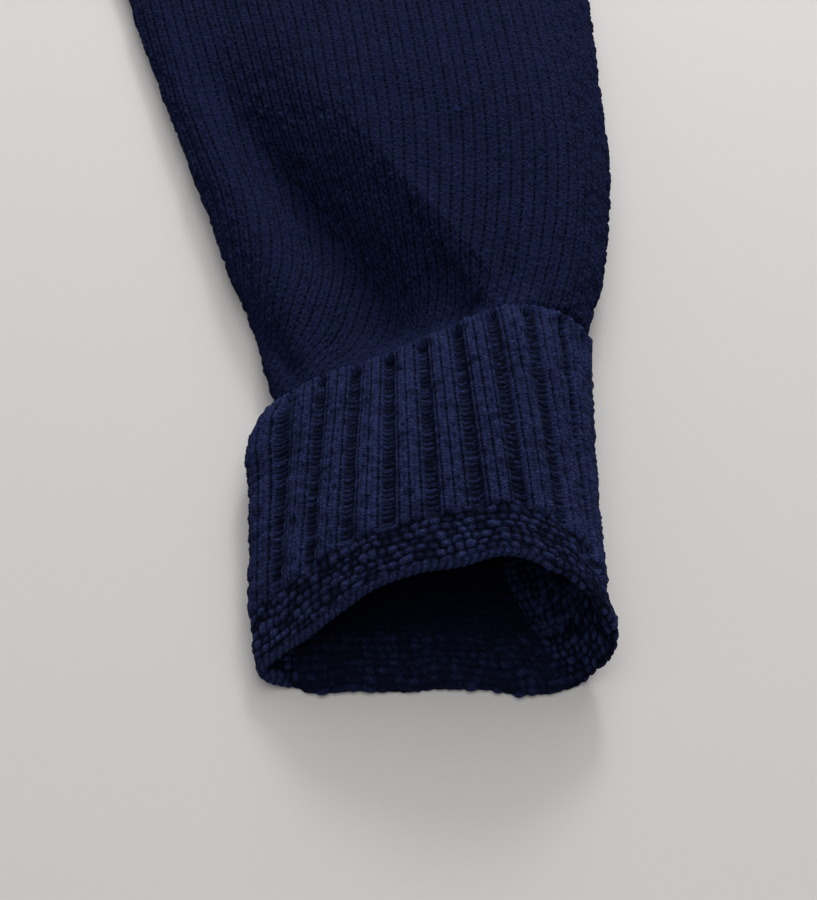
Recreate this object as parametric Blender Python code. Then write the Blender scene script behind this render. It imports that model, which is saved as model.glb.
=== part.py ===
"""A crewneck sweater in chunky navy wool, laid flat with its front up.

Every panel is a knitted wall. The back rests on the surface, the front lies over it,
and each sleeve and cuff is a tube whose underside is flat where it rests. Tables and
sizes are in millimetres, and the meshes are written in metres, with +Z up, the neck
towards +Y and the wearer's left sleeve towards +X.
"""
import math

import bpy
import numpy as np

MM = 0.001

# Sizes of the garment
SHOULDER_HALF = 225.0      # centre to shoulder point
SHOULDER_FALL = 40.0       # neck point down to shoulder point
LENGTH = 670.0             # hem edge to neck point
CHEST_HALF = 268.0         # centre to underarm point
HEM_HALF = 248.0           # centre to side seam, at the rib
ARMHOLE_DEPTH = 230.0      # shoulder point down to underarm point
ARMHOLE_BOW = 10.0         # how far the armhole curves in from its chord
NECK_HALF = 88.0           # centre to neck point
FRONT_NECK_DROP = 90.0
BACK_NECK_DROP = 22.0
NECK_POWER = 2.4           # how square the neckline is
RIB_HEIGHT = 65.0          # hem rib
BAND_WIDTH = 25.0          # neckband, seam to free edge
BAND_CORNER_RISE = 19.0    # free edge above the neck point, where the band turns over
BAND_TAPER = 18.0          # free edge inside the neck point
SLEEVE_ANGLE = 45.0        # degrees that the sleeves spread from straight down
SLEEVE_OVERARM = 545.0     # cuff seam up to the shoulder point, along the sleeve
SLEEVE_SHOULDER_SIDE = 36.0   # how far the shoulder point lies beyond the sleeve's axis
SIDE_CURVE = 0.8           # how soon the side seam widens over the hem rib

# The knitted wall
WALL = 2.4
RIB_RAISE = 1.4            # how far a rib's crest stands over its valley
SEAM_GAP = 0.3
NECK_SEAM_GAP = 0.7        # wider, because straight edges cut across the neck's curve
EDGE_TOP = 5.6             # top of the front where it meets the back
FRONT_RISE = 2.2           # how much higher the front lies away from its edges
EDGE_ROUND = 16.0          # how wide the front's rounded edge is
NECK_EDGE_LIFT = 0.9       # the share of that height that it keeps at the neckline
HEM_EDGE_LIFT = 0.2        # and at the hem's edge
NECK_BLEND = 30.0          # how far the neckline's height takes to reach the shoulder's
ARMHOLE_BLEND = 0.12       # the share of the armhole where the front's edge changes height

# The neckband's two layers
BAND_SIDE_GAP = 0.9        # between them where the band turns over
BAND_LIFT = 1.8            # how much more they part away from its sides
BAND_OPEN = (0.4, 0.8)     # how much each of these grows towards the free edge
BAND_BLEND = 0.35          # the share of each half where they part

# Ribs that show, one crest and one valley each
CUFF_RIBS = 14
HEM_RIBS = 45
BAND_RIBS = 26
RIB_CREST = (0.12, 0.76)   # the crest's stretch of each repeat, and the rest is its valley

NECK_Y = LENGTH
SHOULDER = np.array([SHOULDER_HALF, NECK_Y - SHOULDER_FALL])
UNDERARM = np.array([CHEST_HALF, NECK_Y - SHOULDER_FALL - ARMHOLE_DEPTH])
GARMENT_TOP = NECK_Y + BAND_CORNER_RISE + SEAM_GAP
Y_SHIFT = -0.5 * GARMENT_TOP   # puts the middle of the garment over the origin

# A tube's sections. Each row lies at "along", a distance up the sleeve's axis. "left"
# and "right" are its edges across the sleeve, the underarm edge first, and "turn" is how
# far it is turned in plan, in degrees. Its top runs from the left edge over a lobe, a
# dip, a roll, a crest and a brow to the right edge, each with its place and its height.
# "foot_l" and "foot_r" are how far in from its edges it comes down to the surface,
# "crease" is how sharply its crest breaks, and "lean" is how far it leans back as it rises.
SECTION = ("along", "left", "right", "turn", "left_z", "lobe", "lobe_z", "dip", "dip_z", "roll", "roll_z",
           "crest", "crest_z", "brow", "brow_z", "right_z", "foot_l", "foot_r", "crease", "lean")

# The left sleeve: one sharp fold runs from the cuff up and across to the underarm edge
SLEEVE_LEFT = (
    (14, -41.5, 48.5, 0, 8, -32, 17.5, -8, 26, 9, 33.5, 25, 38.5, 40, 33, 17, 6, 12, 0, 0.15),
    (20, -42.5, 51.5, 0, 8, -32, 16.5, -8, 18.5, 11, 27.5, 25.5, 36.5, 42, 33.5, 17, 6, 12, 0.7, 0.15),
    (30, -44, 57, 0, 7, -33, 16, -7, 10.5, 9, 23.5, 23.5, 35.5, 46, 34, 16, 6, 11, 0.85, 0.14),
    (46, -46.5, 63, 0, 7, -35, 18, -8, 8, 4, 22.5, 17, 34.8, 52, 33.5, 15, 5, 10, 0.9, 0.12),
    (66, -50, 69, 0, 7, -39, 18, -16, 7, -5, 21.5, 7.5, 34, 57, 33, 14, 5, 9, 0.75, 0.08),
    (90, -54, 73.5, 0, 7, -44, 16.5, -27, 8, -16, 20, -3, 32, 60, 33, 14, 5, 8, 0.4, 0.04),
    (116, -58.5, 77, 0, 7, -50, 14, -38, 10.5, -27, 18.5, -11, 29, 62, 32, 13, 5, 7, 0.15, 0),
    (140, -63, 80.5, 0, 6, -56, 12.5, -46, 13, -35, 17.5, -18, 25.5, 64, 30, 12, 5, 6, 0, 0),
    (170, -68, 84, 0, 5.5, -60, 11.5, -51, 13, -41, 15.5, -26, 20.5, 64, 26, 10, 5, 6, 0, 0),
    (215, -76, 89, 0, 5, -66, 11.5, -50, 12, -40, 13.3, -28, 16, 66, 21, 8, 5, 6, 0, 0),
    (285, -87.4, 94.4, 10, 5, -76, 11.5, -40, 13.5, -20, 12.9, 0, 12, 66, 18, 7, 5, 6, 0, 0),
    (340, -100, 102, 25, 4.5, -86, 11, -44, 12.5, -21, 13.5, 2, 14, 70, 15, 6, 5, 5, 0, 0),
    (400, -122.5, 107.5, 42, 4, -104, 9.5, -56, 10, -28, 10.3, 0, 10.5, 74, 10, 4.5, 5, 5, 0, 0),
    (448.4, -146.5, 87.5, 55.6, 3.6, -121, 7.8, -62, 7.9, -31, 7.9, 0, 7.9, 64, 7.8, 3.6, 5, 5, 0, 0),
)

# The right sleeve lies flatter, with a shallower fold
SLEEVE_RIGHT = (
    (14, -42, 48, 0, 7, -30, 19, -8, 24, 7, 27.5, 22, 30, 38, 27, 13, 6, 8, 0, 0.12),
    (20, -44, 51, 0, 7, -32, 19, -9, 21, 6, 25.3, 21, 28.5, 41, 26, 13, 6, 8, 0, 0.12),
    (32, -48, 58, 0, 7, -37, 20, -12, 16, 1.5, 21.6, 14, 26, 46, 25, 12, 6, 7, 0.2, 0.1),
    (52, -52, 65, 0, 7, -41, 21, -14, 12, -2, 18.6, 8, 24, 52, 23, 11, 5, 7, 0.4, 0.05),
    (84, -57, 71, 0, 7, -45, 22, -12, 11, -1.5, 16, 8, 20, 56, 20, 10, 5, 6, 0.4, 0),
    (120, -62, 77, 0, 7, -48, 22, -6, 10.5, 5.5, 14, 16, 17, 60, 18, 9, 5, 6, 0.3, 0),
    (165, -69, 83, 0, 6, -50, 19, 4, 10, 15, 13.2, 26, 15.5, 66, 16, 8, 5, 6, 0.2, 0),
    (215, -77, 89, 0, 5.5, -52, 15.5, 8, 10.5, 21, 13, 34, 15, 70, 14.5, 7, 5, 6, 0.1, 0),
    (285, -87.4, 94.4, 10, 5, -62, 13, 0, 11.5, 18, 14.6, 36, 17, 72, 14, 7, 5, 6, 0, 0),
    (340, -100, 102, 25, 4.5, -80, 12, -20, 14, 2, 13, 24, 11.5, 74, 14, 6, 5, 5, 0, 0),
    (400, -122.5, 107.5, 42, 4, -104, 9.5, -56, 10.5, -28, 10.3, 0, 10, 74, 10, 4.5, 5, 5, 0, 0),
    (448.4, -146.5, 87.5, 55.6, 3.6, -121, 7.8, -62, 7.9, -31, 7.9, 0, 7.9, 64, 7.8, 3.6, 5, 5, 0, 0),
)

# The cuffs, from the seam to the open mouth, which leans back over the hand's hollow
CUFF_LEFT = (
    (14, -41.5, 48.5, 0, 8, -32, 17.5, -8, 26, 9, 33.5, 25, 38.5, 40, 33, 17, 6, 12, 0, 0.15),
    (7, -48, 46.5, -2, 8, -38, 19, -10, 27.5, 7, 35.5, 24, 41, 38, 34, 17, 6, 14, 0, 0.18),
    (-4, -52, 44, -5, 8, -42, 19, -12, 29, 4.5, 36.8, 21, 42, 36, 34, 17, 7, 16, 0, 0.24),
    (-20, -54, 40.5, -8, 8, -44, 18, -19, 30.5, 0, 38, 18, 42.5, 32, 33, 17, 7, 21, 0, 0.36),
    (-38, -56.5, 37, -10, 7, -48, 16.5, -25, 31.5, -5, 38.5, 14, 42, 28, 32.5, 18, 8, 23, 0, 0.47),
    (-54, -58.5, 34.5, -11, 6.5, -51, 15, -28, 32, -8, 38.5, 11, 41.5, 27, 32, 18, 9, 17, 0, 0.55),
    (-71.5, -59.5, 35, -11, 6, -53, 12, -31, 30, -10, 38, 9, 41, 26.5, 31, 17, 11, 9, 0, 0.6),
)
CUFF_RIGHT = (
    (14, -42, 48, 0, 7, -30, 19, -8, 24, 7, 27.5, 22, 30, 38, 27, 13, 6, 8, 0, 0.12),
    (7, -48, 51, 0, 7, -35, 20, -10, 25, 5.5, 28.5, 21, 31, 40, 28, 13, 7, 9, 0, 0.14),
    (-4, -51, 51.5, 0, 7, -38, 21, -12, 26, 3.5, 29.6, 19, 32, 40, 28, 13, 8, 9, 0, 0.18),
    (-20, -51.5, 50.5, 0, 7, -38, 22, -12, 27, 2.5, 30.5, 17, 33, 38, 28, 14, 8, 9, 0, 0.24),
    (-38, -51, 49, 0, 7, -37, 23, -12, 29, 2, 32.4, 16, 35, 38, 29, 14, 8, 9, 0, 0.3),
    (-54, -50.5, 48.5, 0, 7, -36, 24, -12, 30, 1.5, 33.4, 15, 36, 38, 30, 14, 8, 9, 0, 0.34),
    (-71.5, -50, 48, 0, 7, -36, 24, -12, 31, 1.5, 34.4, 15, 37, 38, 30, 14, 8, 9, 0, 0.38),
)
CUFF_LENGTH = 85.5         # the cuff's stretch of "along"
CUFF_EDGE = 14.0           # the knitted band at its mouth, where the ribs end
EDGE_RAISE = 1.0           # how far that band stands over the valleys
CUFF_EDGE_ROW = 0.02       # the share of a cuff between its ribs' ends and that band
RIGHT_CUFF_TURN = -5.69    # degrees that the right cuff is laid aslant
CUFF_SWING = 1.5           # how much more it swings towards its mouth

# Soft folds in the front: a ridge from one end to the other, its width and its height
FOLD = ("x0", "y0", "x1", "y1", "width", "height")
FRONT_FOLDS = (
    (-235, 425, -110, 250, 26, 7.5),
    (-205, 330, -60, 120, 22, 5.0),
    (232, 440, 120, 300, 24, 7.0),
    (215, 345, 95, 95, 28, 6.0),
    (-60, 520, 70, 478, 30, 4.0),
    (-150, 560, -118, 440, 24, 4.5),
    (160, 575, 112, 455, 22, 5.0),
    (-40, 330, 60, 60, 34, 4.5),
    (-150, 160, -175, 20, 24, 4.0),
    (20, 190, -70, 10, 26, 3.5),
)

FOLD_BEND = 0.05           # how far a fold's middle swings aside, as a share of its length
FOLD_ENDS = (0.3, 0.35)    # the shares of its length over which it rises and falls

CREST_PLACE = 5            # the crest's number among a section's places
FOOT_SHARE = 0.04          # the share of a cuff's top line over which its ribs rise from the surface
SPLINE_POWER = 0.8         # how a section's curve is paced between its places
SEAM_BLEND = 60.0          # the stretch of a sleeve that makes room for the armhole's gap
BOW_BLEND = 130.0          # and the stretch that takes up the armhole's curve

# How finely the walls are divided
TUBE_SPANS = (2, 3, 3, 3, 3, 4, 3, 2)   # columns between a section's named places
TUBE_UNDER = 6                        # columns across its flat underside
SLEEVE_BETWEEN = (105.0, 128.0, 155.0, 192.0, 250.0)   # further sections where the folds bend
NECK_COLUMNS = 9                      # columns from the centre to a neck point
SHOULDER_COLUMNS = 8
SIDE_ROWS = 15
ARMHOLE_ROWS = 9
HEM_ROWS = 3
BACK_ROWS = (4, 4)
BAND_ROWS = 3
BAND_BACK_COLUMNS = 22
BAND_TURN_COLUMNS = 4
CUFF_SECTIONS = 6
CUFF_UNDER = 8
SPAN_SAMPLES = 8                      # points a span on a line that is then spaced evenly
LINE_SAMPLES = 400                    # points on such a line
SHARP_ANGLE = 50.0                    # degrees over which an edge is shaded as sharp

NAVY = (0.0105, 0.0145, 0.038, 1.0)
NAVY_RIB = (0.0115, 0.0155, 0.040, 1.0)
WOOL_ROUGHNESS = 0.92


def clear_scene():
    """Takes away whatever the scene starts with."""
    for thing in list(bpy.data.objects):
        bpy.data.objects.remove(thing, do_unlink=True)


def wool(name, colour):
    """A matt wool finish."""
    material = bpy.data.materials.new(name)
    material.use_nodes = True
    shader = material.node_tree.nodes["Principled BSDF"]
    shader.inputs["Base Color"].default_value = colour
    shader.inputs["Roughness"].default_value = WOOL_ROUGHNESS
    shader.inputs["Metallic"].default_value = 0.0
    return material


def smooth_step(value):
    """0 below 0, 1 above 1 and an easy rise between."""
    t = np.clip(value, 0.0, 1.0)
    return t * t * (3.0 - 2.0 * t)


def quarter_round(value):
    """The height of a quarter circle, from 0 at its edge to 1."""
    t = np.clip(value, 0.0, 1.0)
    return np.sqrt(1.0 - (1.0 - t) ** 2)


def spline(knots, values, at, first=None, last=None, crease=None):
    """A smooth curve through values at knots, read at the places given.

    "crease" is a knot's number and how sharply the curve breaks there, from 0 to 1.
    """
    knots = np.asarray(knots, float)
    values = np.asarray(values, float)
    at = np.atleast_1d(np.asarray(at, float))
    steps = np.diff(knots)[:, None]
    slopes = np.diff(values, axis=0) / steps
    leave = np.empty_like(values)
    leave[1:-1] = (slopes[:-1] * steps[1:] + slopes[1:] * steps[:-1]) / (steps[:-1] + steps[1:])
    leave[0] = slopes[0] if first is None else first
    leave[-1] = slopes[-1] if last is None else last
    arrive = leave.copy()
    if crease is not None:
        knot, sharp = crease
        arrive[knot] += sharp * (slopes[knot - 1] - arrive[knot])
        leave[knot] += sharp * (slopes[knot] - leave[knot])
    span = np.clip(np.searchsorted(knots, at, side="right") - 1, 0, len(knots) - 2)
    width = steps[span]
    t = (at - knots[span])[:, None] / width
    return (values[span] * (1 + 2 * t) * (1 - t) ** 2 + leave[span] * width * t * (1 - t) ** 2
            + values[span + 1] * t * t * (3 - 2 * t) + arrive[span + 1] * width * t * t * (t - 1))


def read_row(table, along):
    """The section at any distance along a tube, as a value for each column."""
    rows = np.array(sorted(table), float)
    values = spline(rows[:, 0], rows, [along])[0]
    return dict(zip(SECTION, values))


def section_top(row, counts):
    """The section's outer line, from its left foot over the top to its right foot."""
    places = np.array([
        (row["left"] + row["foot_l"], 0.0),
        (row["left"], row["left_z"]),
        (row["lobe"], row["lobe_z"]),
        (row["dip"], row["dip_z"]),
        (row["roll"], row["roll_z"]),
        (row["crest"], row["crest_z"]),
        (row["brow"], row["brow_z"]),
        (row["right"], row["right_z"]),
        (row["right"] - row["foot_r"], 0.0),
    ])
    apart = np.linalg.norm(np.diff(places, axis=0), axis=1)
    knots = np.concatenate([[0.0], np.cumsum(apart ** SPLINE_POWER)])
    scale = apart.mean() / np.diff(knots).mean()
    at = [knots[0]]
    for k, count in enumerate(counts):
        at.extend(knots[k] + (knots[k + 1] - knots[k]) * (i + 1) / count for i in range(count))
    ends = np.array([-scale, 0.0])
    line = spline(knots, places, at, ends, ends, crease=(CREST_PLACE, row["crease"]))
    line[:, 1] = np.maximum(line[:, 1], 0.0)
    return line


def read_evenly(line, shares):
    """Points on a line at the shares of its length given."""
    run = np.concatenate([[0.0], np.cumsum(np.linalg.norm(np.diff(line, axis=0), axis=1))])
    return np.stack([np.interp(shares * run[-1], run, line[:, k]) for k in (0, 1)], axis=1)


def closed_section(top, under):
    """Adds the flat underside, from the right foot back to the left foot."""
    share = np.arange(1, under)[:, None] / under
    return np.vstack([top, top[-1] + (top[0] - top[-1]) * share])


def loop_normals(loop):
    """Outward normals of a closed section that runs clockwise over its top."""
    along = np.roll(loop, -1, axis=0) - np.roll(loop, 1, axis=0)
    along /= np.linalg.norm(along, axis=1)[:, None]
    return np.stack([-along[:, 1], along[:, 0]], axis=1)


def rib_raise(index, per_repeat=4):
    """1 on a rib's crest and 0 in its valley, by the point's index."""
    return 1.0 if index % per_repeat in (1, 2) else 0.0


def rib_places(repeats, length=1.0):
    """Where the four points of each rib lie along a line, with a last point at its end."""
    low, high = RIB_CREST
    marks = (0.0, low, high, high + low)
    places = [(k + mark) / repeats for k in range(repeats) for mark in marks]
    return np.array(places + [1.0]) * length


# Where the garment's outline runs, in plan

def sleeve_axes():
    """The left sleeve's own frame: its origin, its axis and the way across it."""
    turn = math.radians(SLEEVE_ANGLE)
    axis = np.array([-math.sin(turn), math.cos(turn)])
    across = np.array([math.cos(turn), math.sin(turn)])
    origin = SHOULDER - SLEEVE_OVERARM * axis - SLEEVE_SHOULDER_SIDE * across
    return origin, axis, across


def armhole(share):
    """The armhole seam, from the underarm point (0) to the shoulder point (1)."""
    share = np.asarray(share, float)[..., None]
    chord = SHOULDER - UNDERARM
    inward = np.array([-chord[1], chord[0]]) / np.linalg.norm(chord)
    return UNDERARM + chord * share + ARMHOLE_BOW * 4 * share * (1 - share) * inward


def side_seam(height):
    """Centre to side seam at a height over the hem rib's seam."""
    share = np.clip((height - RIB_HEIGHT) / (UNDERARM[1] - RIB_HEIGHT), 0.0, 1.0)
    return HEM_HALF + (CHEST_HALF - HEM_HALF) * np.sin(0.5 * np.pi * share) ** SIDE_CURVE


def neckline(x, half, corner, drop):
    """A neckline's height at x: level with its corners at the sides and lower between."""
    share = np.clip(np.abs(x) / half, 0.0, 1.0)
    return corner - drop * (1.0 - share ** NECK_POWER)


def top_edge(x, drop):
    """The panel's top edge: the neckline, then the shoulder."""
    fall = SHOULDER_FALL * (np.abs(x) - NECK_HALF) / (SHOULDER_HALF - NECK_HALF)
    return np.where(np.abs(x) < NECK_HALF, neckline(x, NECK_HALF, NECK_Y, drop), NECK_Y - fall)


def body_columns():
    """Places across a panel, from -1 to 1, with one at each neck point."""
    corner = NECK_HALF / SHOULDER_HALF
    near = corner * np.linspace(0.0, 1.0, NECK_COLUMNS + 1)
    far = corner + (1 - corner) * np.sin(0.5 * np.pi * np.linspace(0.0, 1.0, SHOULDER_COLUMNS + 1))[1:]
    half = np.concatenate([near, far])
    return np.concatenate([-half[:0:-1], half])


def side_stations(side_rows, armhole_rows):
    """Points up the panel's side, and each one's share of the armhole, or -1 below it."""
    heights = np.linspace(RIB_HEIGHT + SEAM_GAP, UNDERARM[1], side_rows + 1)
    below = np.stack([side_seam(heights), heights], axis=1)
    shares = np.linspace(0.0, 1.0, armhole_rows + 1)[1:]
    points = np.vstack([below, armhole(shares)])
    return points, np.concatenate([np.full(side_rows + 1, -1.0), shares])


def panel_grid(columns, points, drop):
    """A body panel's points in plan, a row for each station up its side."""
    bottom = points[0, 1]
    tops = top_edge(columns * SHOULDER_HALF, drop)
    share = (points[:, 1] - bottom) / (points[-1, 1] - bottom)
    x = columns[None, :] * points[:, 0][:, None]
    y = bottom + (tops[None, :] - bottom) * share[:, None]
    return x, y


# How high the front lies

def folds_at(x, y):
    """Soft ridges of the front, added together."""
    height = np.zeros(np.broadcast(x, y).shape)
    for row in FRONT_FOLDS:
        fold = dict(zip(FOLD, row))
        run = np.array([fold["x1"] - fold["x0"], fold["y1"] - fold["y0"]], float)
        length = np.linalg.norm(run)
        run /= length
        along = ((x - fold["x0"]) * run[0] + (y - fold["y0"]) * run[1]) / length
        aside = (x - fold["x0"]) * run[1] - (y - fold["y0"]) * run[0]
        aside = aside + FOLD_BEND * length * np.sin(np.pi * along)
        rise, fall = FOLD_ENDS
        ends = smooth_step(along / rise) * smooth_step((1 - along) / fall)
        height += fold["height"] * ends * np.exp(-(aside / fold["width"]) ** 2)
    return height


def front_top(x, y, side, armhole_share):
    """The front's upper face. "side" is the distance to the side edge on the same row."""
    at_seam = np.where(armhole_share < 0, 1.0, 1 - smooth_step(armhole_share / ARMHOLE_BLEND))
    at_shoulder = smooth_step((armhole_share - 1 + ARMHOLE_BLEND) / ARMHOLE_BLEND)
    hold = np.maximum(at_seam, at_shoulder)
    lift = 1 - hold * (1 - quarter_round(side / EDGE_ROUND))
    to_top = top_edge(x, FRONT_NECK_DROP) - y
    by_neck = smooth_step((NECK_HALF + 0.4 * NECK_BLEND - np.abs(x)) / NECK_BLEND)
    lift = lift * (1 - (1 - NECK_EDGE_LIFT * by_neck) * (1 - quarter_round(to_top / EDGE_ROUND)))
    lift = lift * (1 - (1 - HEM_EDGE_LIFT) * (1 - quarter_round(y / EDGE_ROUND)))
    return EDGE_TOP + lift * (FRONT_RISE + folds_at(x, y))


# Meshes

def grid_faces(rows, columns, closed, start=0, flip=False):
    """Quads of a grid of points, joined round when it is closed."""
    faces = []
    last = columns if closed else columns - 1
    for r in range(rows - 1):
        for c in range(last):
            n = (c + 1) % columns
            quad = (start + r * columns + c, start + r * columns + n,
                    start + (r + 1) * columns + n, start + (r + 1) * columns + c)
            faces.append(quad[::-1] if flip else quad)
    return faces


def rim_faces(outer, inner, closed, flip=False):
    """Quads between two lines of points."""
    faces = []
    count = len(outer)
    for k in range(count if closed else count - 1):
        n = (k + 1) % count
        quad = (outer[k], inner[k], inner[n], outer[n])
        faces.append(quad[::-1] if flip else quad)
    return faces


def wall(name, outer, inner, closed, material):
    """One closed wall from its outer and inner points, each a grid of rows and columns."""
    rows, columns = outer.shape[:2]
    inner_rows = inner.shape[0]
    base = rows * columns
    points = np.vstack([outer.reshape(-1, 3), inner.reshape(-1, 3)])
    points[:, 1] += Y_SHIFT
    faces = grid_faces(rows, columns, closed)
    faces += grid_faces(inner_rows, columns, closed, base, flip=True)
    first = list(range(columns))
    last = [(rows - 1) * columns + c for c in range(columns)]
    inner_first = [base + c for c in range(columns)]
    inner_last = [base + (inner_rows - 1) * columns + c for c in range(columns)]
    faces += rim_faces(first, inner_first, closed)
    faces += rim_faces(last, inner_last, closed, flip=True)
    if not closed:
        for c, flip in ((0, True), (columns - 1, False)):
            side = [r * columns + c for r in range(rows)]
            inner_side = [base + r * columns + c for r in range(inner_rows)]
            faces += rim_faces(side, inner_side, False, flip)
    mesh = bpy.data.meshes.new(name)
    mesh.from_pydata((points * MM).tolist(), [], faces)
    mesh.materials.append(material)
    mesh.update()
    mesh.shade_smooth()
    mesh.set_sharp_from_angle(angle=math.radians(SHARP_ANGLE))
    thing = bpy.data.objects.new(name, mesh)
    bpy.context.scene.collection.objects.link(thing)
    return thing


def mirrored(grid):
    """The same points on the garment's other side, with the faces still outward."""
    flipped = grid[:, ::-1].copy()
    flipped[..., 0] *= -1
    return flipped


def place_section(row, loop, lag=0.0, bow=0.0):
    """Sets a section's loop in place: across and up become x, y and z."""
    origin, axis, across = sleeve_axes()
    middle = 0.5 * (row["left"] + row["right"])
    turn = math.radians(row["turn"])
    aside = loop[:, 0] - middle
    share = np.clip((loop[:, 0] - row["left"]) / (row["right"] - row["left"]), 0.0, 1.0)
    ahead = row["lean"] * loop[:, 1] + bow * 4 * share * (1 - share) - lag
    along = row["along"] + math.sin(turn) * aside + math.cos(turn) * ahead
    side = middle + math.cos(turn) * aside - math.sin(turn) * ahead
    plan = origin + along[:, None] * axis + side[:, None] * across
    return np.column_stack([plan, loop[:, 1]])


def make_sleeve(name, table, flip, material):
    """A sleeve as a tube of rings, from the cuff seam to the armhole."""
    outer = []
    inner = []
    last = table[-1][0]
    for along in sorted([row[0] for row in table] + list(SLEEVE_BETWEEN)):
        row = read_row(table, along)
        loop = closed_section(section_top(row, TUBE_SPANS), TUBE_UNDER)
        lag = SEAM_GAP * smooth_step((along - last + SEAM_BLEND) / SEAM_BLEND)
        bow = ARMHOLE_BOW * smooth_step((along - last + BOW_BLEND) / BOW_BLEND)
        outer.append(place_section(row, loop, lag, bow))
        inner.append(place_section(row, loop - WALL * loop_normals(loop), lag, bow))
    outer = np.array(outer)
    inner = np.array(inner)
    if flip:
        outer, inner = mirrored(outer), mirrored(inner)
    return wall(name, outer, inner, True, material)


def cuff_stations():
    """Places along a cuff, as shares of its length, with two close rows where the ribs end."""
    ribs_end = 1 - CUFF_EDGE / CUFF_LENGTH
    return list(np.linspace(0.0, ribs_end, CUFF_SECTIONS)) + [ribs_end + CUFF_EDGE_ROW, 1.0]


def make_cuff(name, table, flip, aslant, material):
    """A ribbed cuff: ribs raised over its top and sides, and plain inside and under."""
    outer = []
    inner = []
    first = table[0][0] - SEAM_GAP
    marks = rib_places(CUFF_RIBS)
    ribs = np.array([rib_raise(k) for k in range(len(marks))])
    from_foot = smooth_step(np.minimum(marks, 1 - marks) / FOOT_SHARE)
    for number, station in enumerate(cuff_stations()):
        row = read_row(table, first + (table[-1][0] - first) * station)
        line = read_evenly(section_top(row, [SPAN_SAMPLES] * len(TUBE_SPANS)), marks)
        loop = closed_section(line, CUFF_UNDER)
        normals = loop_normals(loop)
        raised = np.zeros(len(loop))
        height = RIB_RAISE * ribs if number < CUFF_SECTIONS else EDGE_RAISE
        raised[:len(marks)] = height * from_foot
        lifted = loop + raised[:, None] * normals
        lifted[:, 1] = np.maximum(lifted[:, 1], 0.0)
        outer.append(place_section(row, lifted))
        inner.append(place_section(row, loop - WALL * normals))
    outer = np.array(outer)[::-1]
    inner = np.array(inner)[::-1]
    if aslant:
        outer, inner = (turned_about_seam(grid, aslant) for grid in (outer, inner))
    if flip:
        outer, inner = mirrored(outer), mirrored(inner)
    return wall(name, outer, inner, True, material)


def turned_about_seam(grid, degrees):
    """Swings the cuff in plan, more towards its mouth, while its seam stays."""
    origin, axis, across = sleeve_axes()
    from_seam = np.maximum(-((grid[..., :2] - origin) @ axis) / CUFF_LENGTH, 0.0)
    shift = math.tan(math.radians(degrees)) * CUFF_LENGTH * from_seam ** CUFF_SWING
    moved = grid.copy()
    moved[..., :2] += shift[..., None] * across
    return moved


def make_front(material):
    """The front panel, lying over the back with its edges rounded down."""
    columns = body_columns()
    points, shares = side_stations(SIDE_ROWS, ARMHOLE_ROWS)
    x, y = panel_grid(columns, points, FRONT_NECK_DROP)
    side = points[:, 0][:, None] - np.abs(x)
    z = front_top(x, y, side, shares[:, None])
    top = np.stack([x, y, z], axis=2)
    under = np.stack([x, y, z - WALL], axis=2)
    return wall("front", top, under, False, material)


def make_back(material):
    """The back panel, flat on the surface."""
    columns = body_columns()
    points, shares = side_stations(*BACK_ROWS)
    x, y = panel_grid(columns, points, BACK_NECK_DROP)
    top = np.stack([x, y, np.full_like(x, WALL)], axis=2)
    under = np.stack([x, y, np.zeros_like(x)], axis=2)
    return wall("back", top, under, False, material)


def make_hem_front(material):
    """The front hem rib, ribs up."""
    columns = 2 * rib_places(HEM_RIBS) - 1
    heights = np.linspace(0.0, RIB_HEIGHT, HEM_ROWS + 1)
    x = columns[None, :] * (HEM_HALF + 0 * heights[:, None])
    y = heights[:, None] + 0 * x
    z = front_top(x, y, HEM_HALF - np.abs(x), -1.0)
    raised = np.array([rib_raise(k) for k in range(len(columns))])
    top = np.stack([x, y, z + RIB_RAISE * raised], axis=2)
    under = np.stack([x, y, z - WALL], axis=2)
    return wall("hem_front", top, under, False, material)


def make_hem_back(material):
    """The back hem rib, its ribs on the side that rests, so it is flat."""
    x = np.linspace(-HEM_HALF, HEM_HALF, 9)[None, :] + np.zeros((2, 1))
    y = np.array([[0.0], [RIB_HEIGHT]]) + 0 * x
    top = np.stack([x, y, np.full_like(x, WALL)], axis=2)
    under = np.stack([x, y, np.zeros_like(x)], axis=2)
    return wall("hem_back", top, under, False, material)


def neck_curve(half, corner, drop, shares):
    """Points along a neckline from +half to -half, at the shares of its length given."""
    x = half * np.sin(0.5 * np.pi * np.linspace(1.0, -1.0, LINE_SAMPLES))
    return read_evenly(np.stack([x, neckline(x, half, corner, drop)], axis=1), shares)


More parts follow.
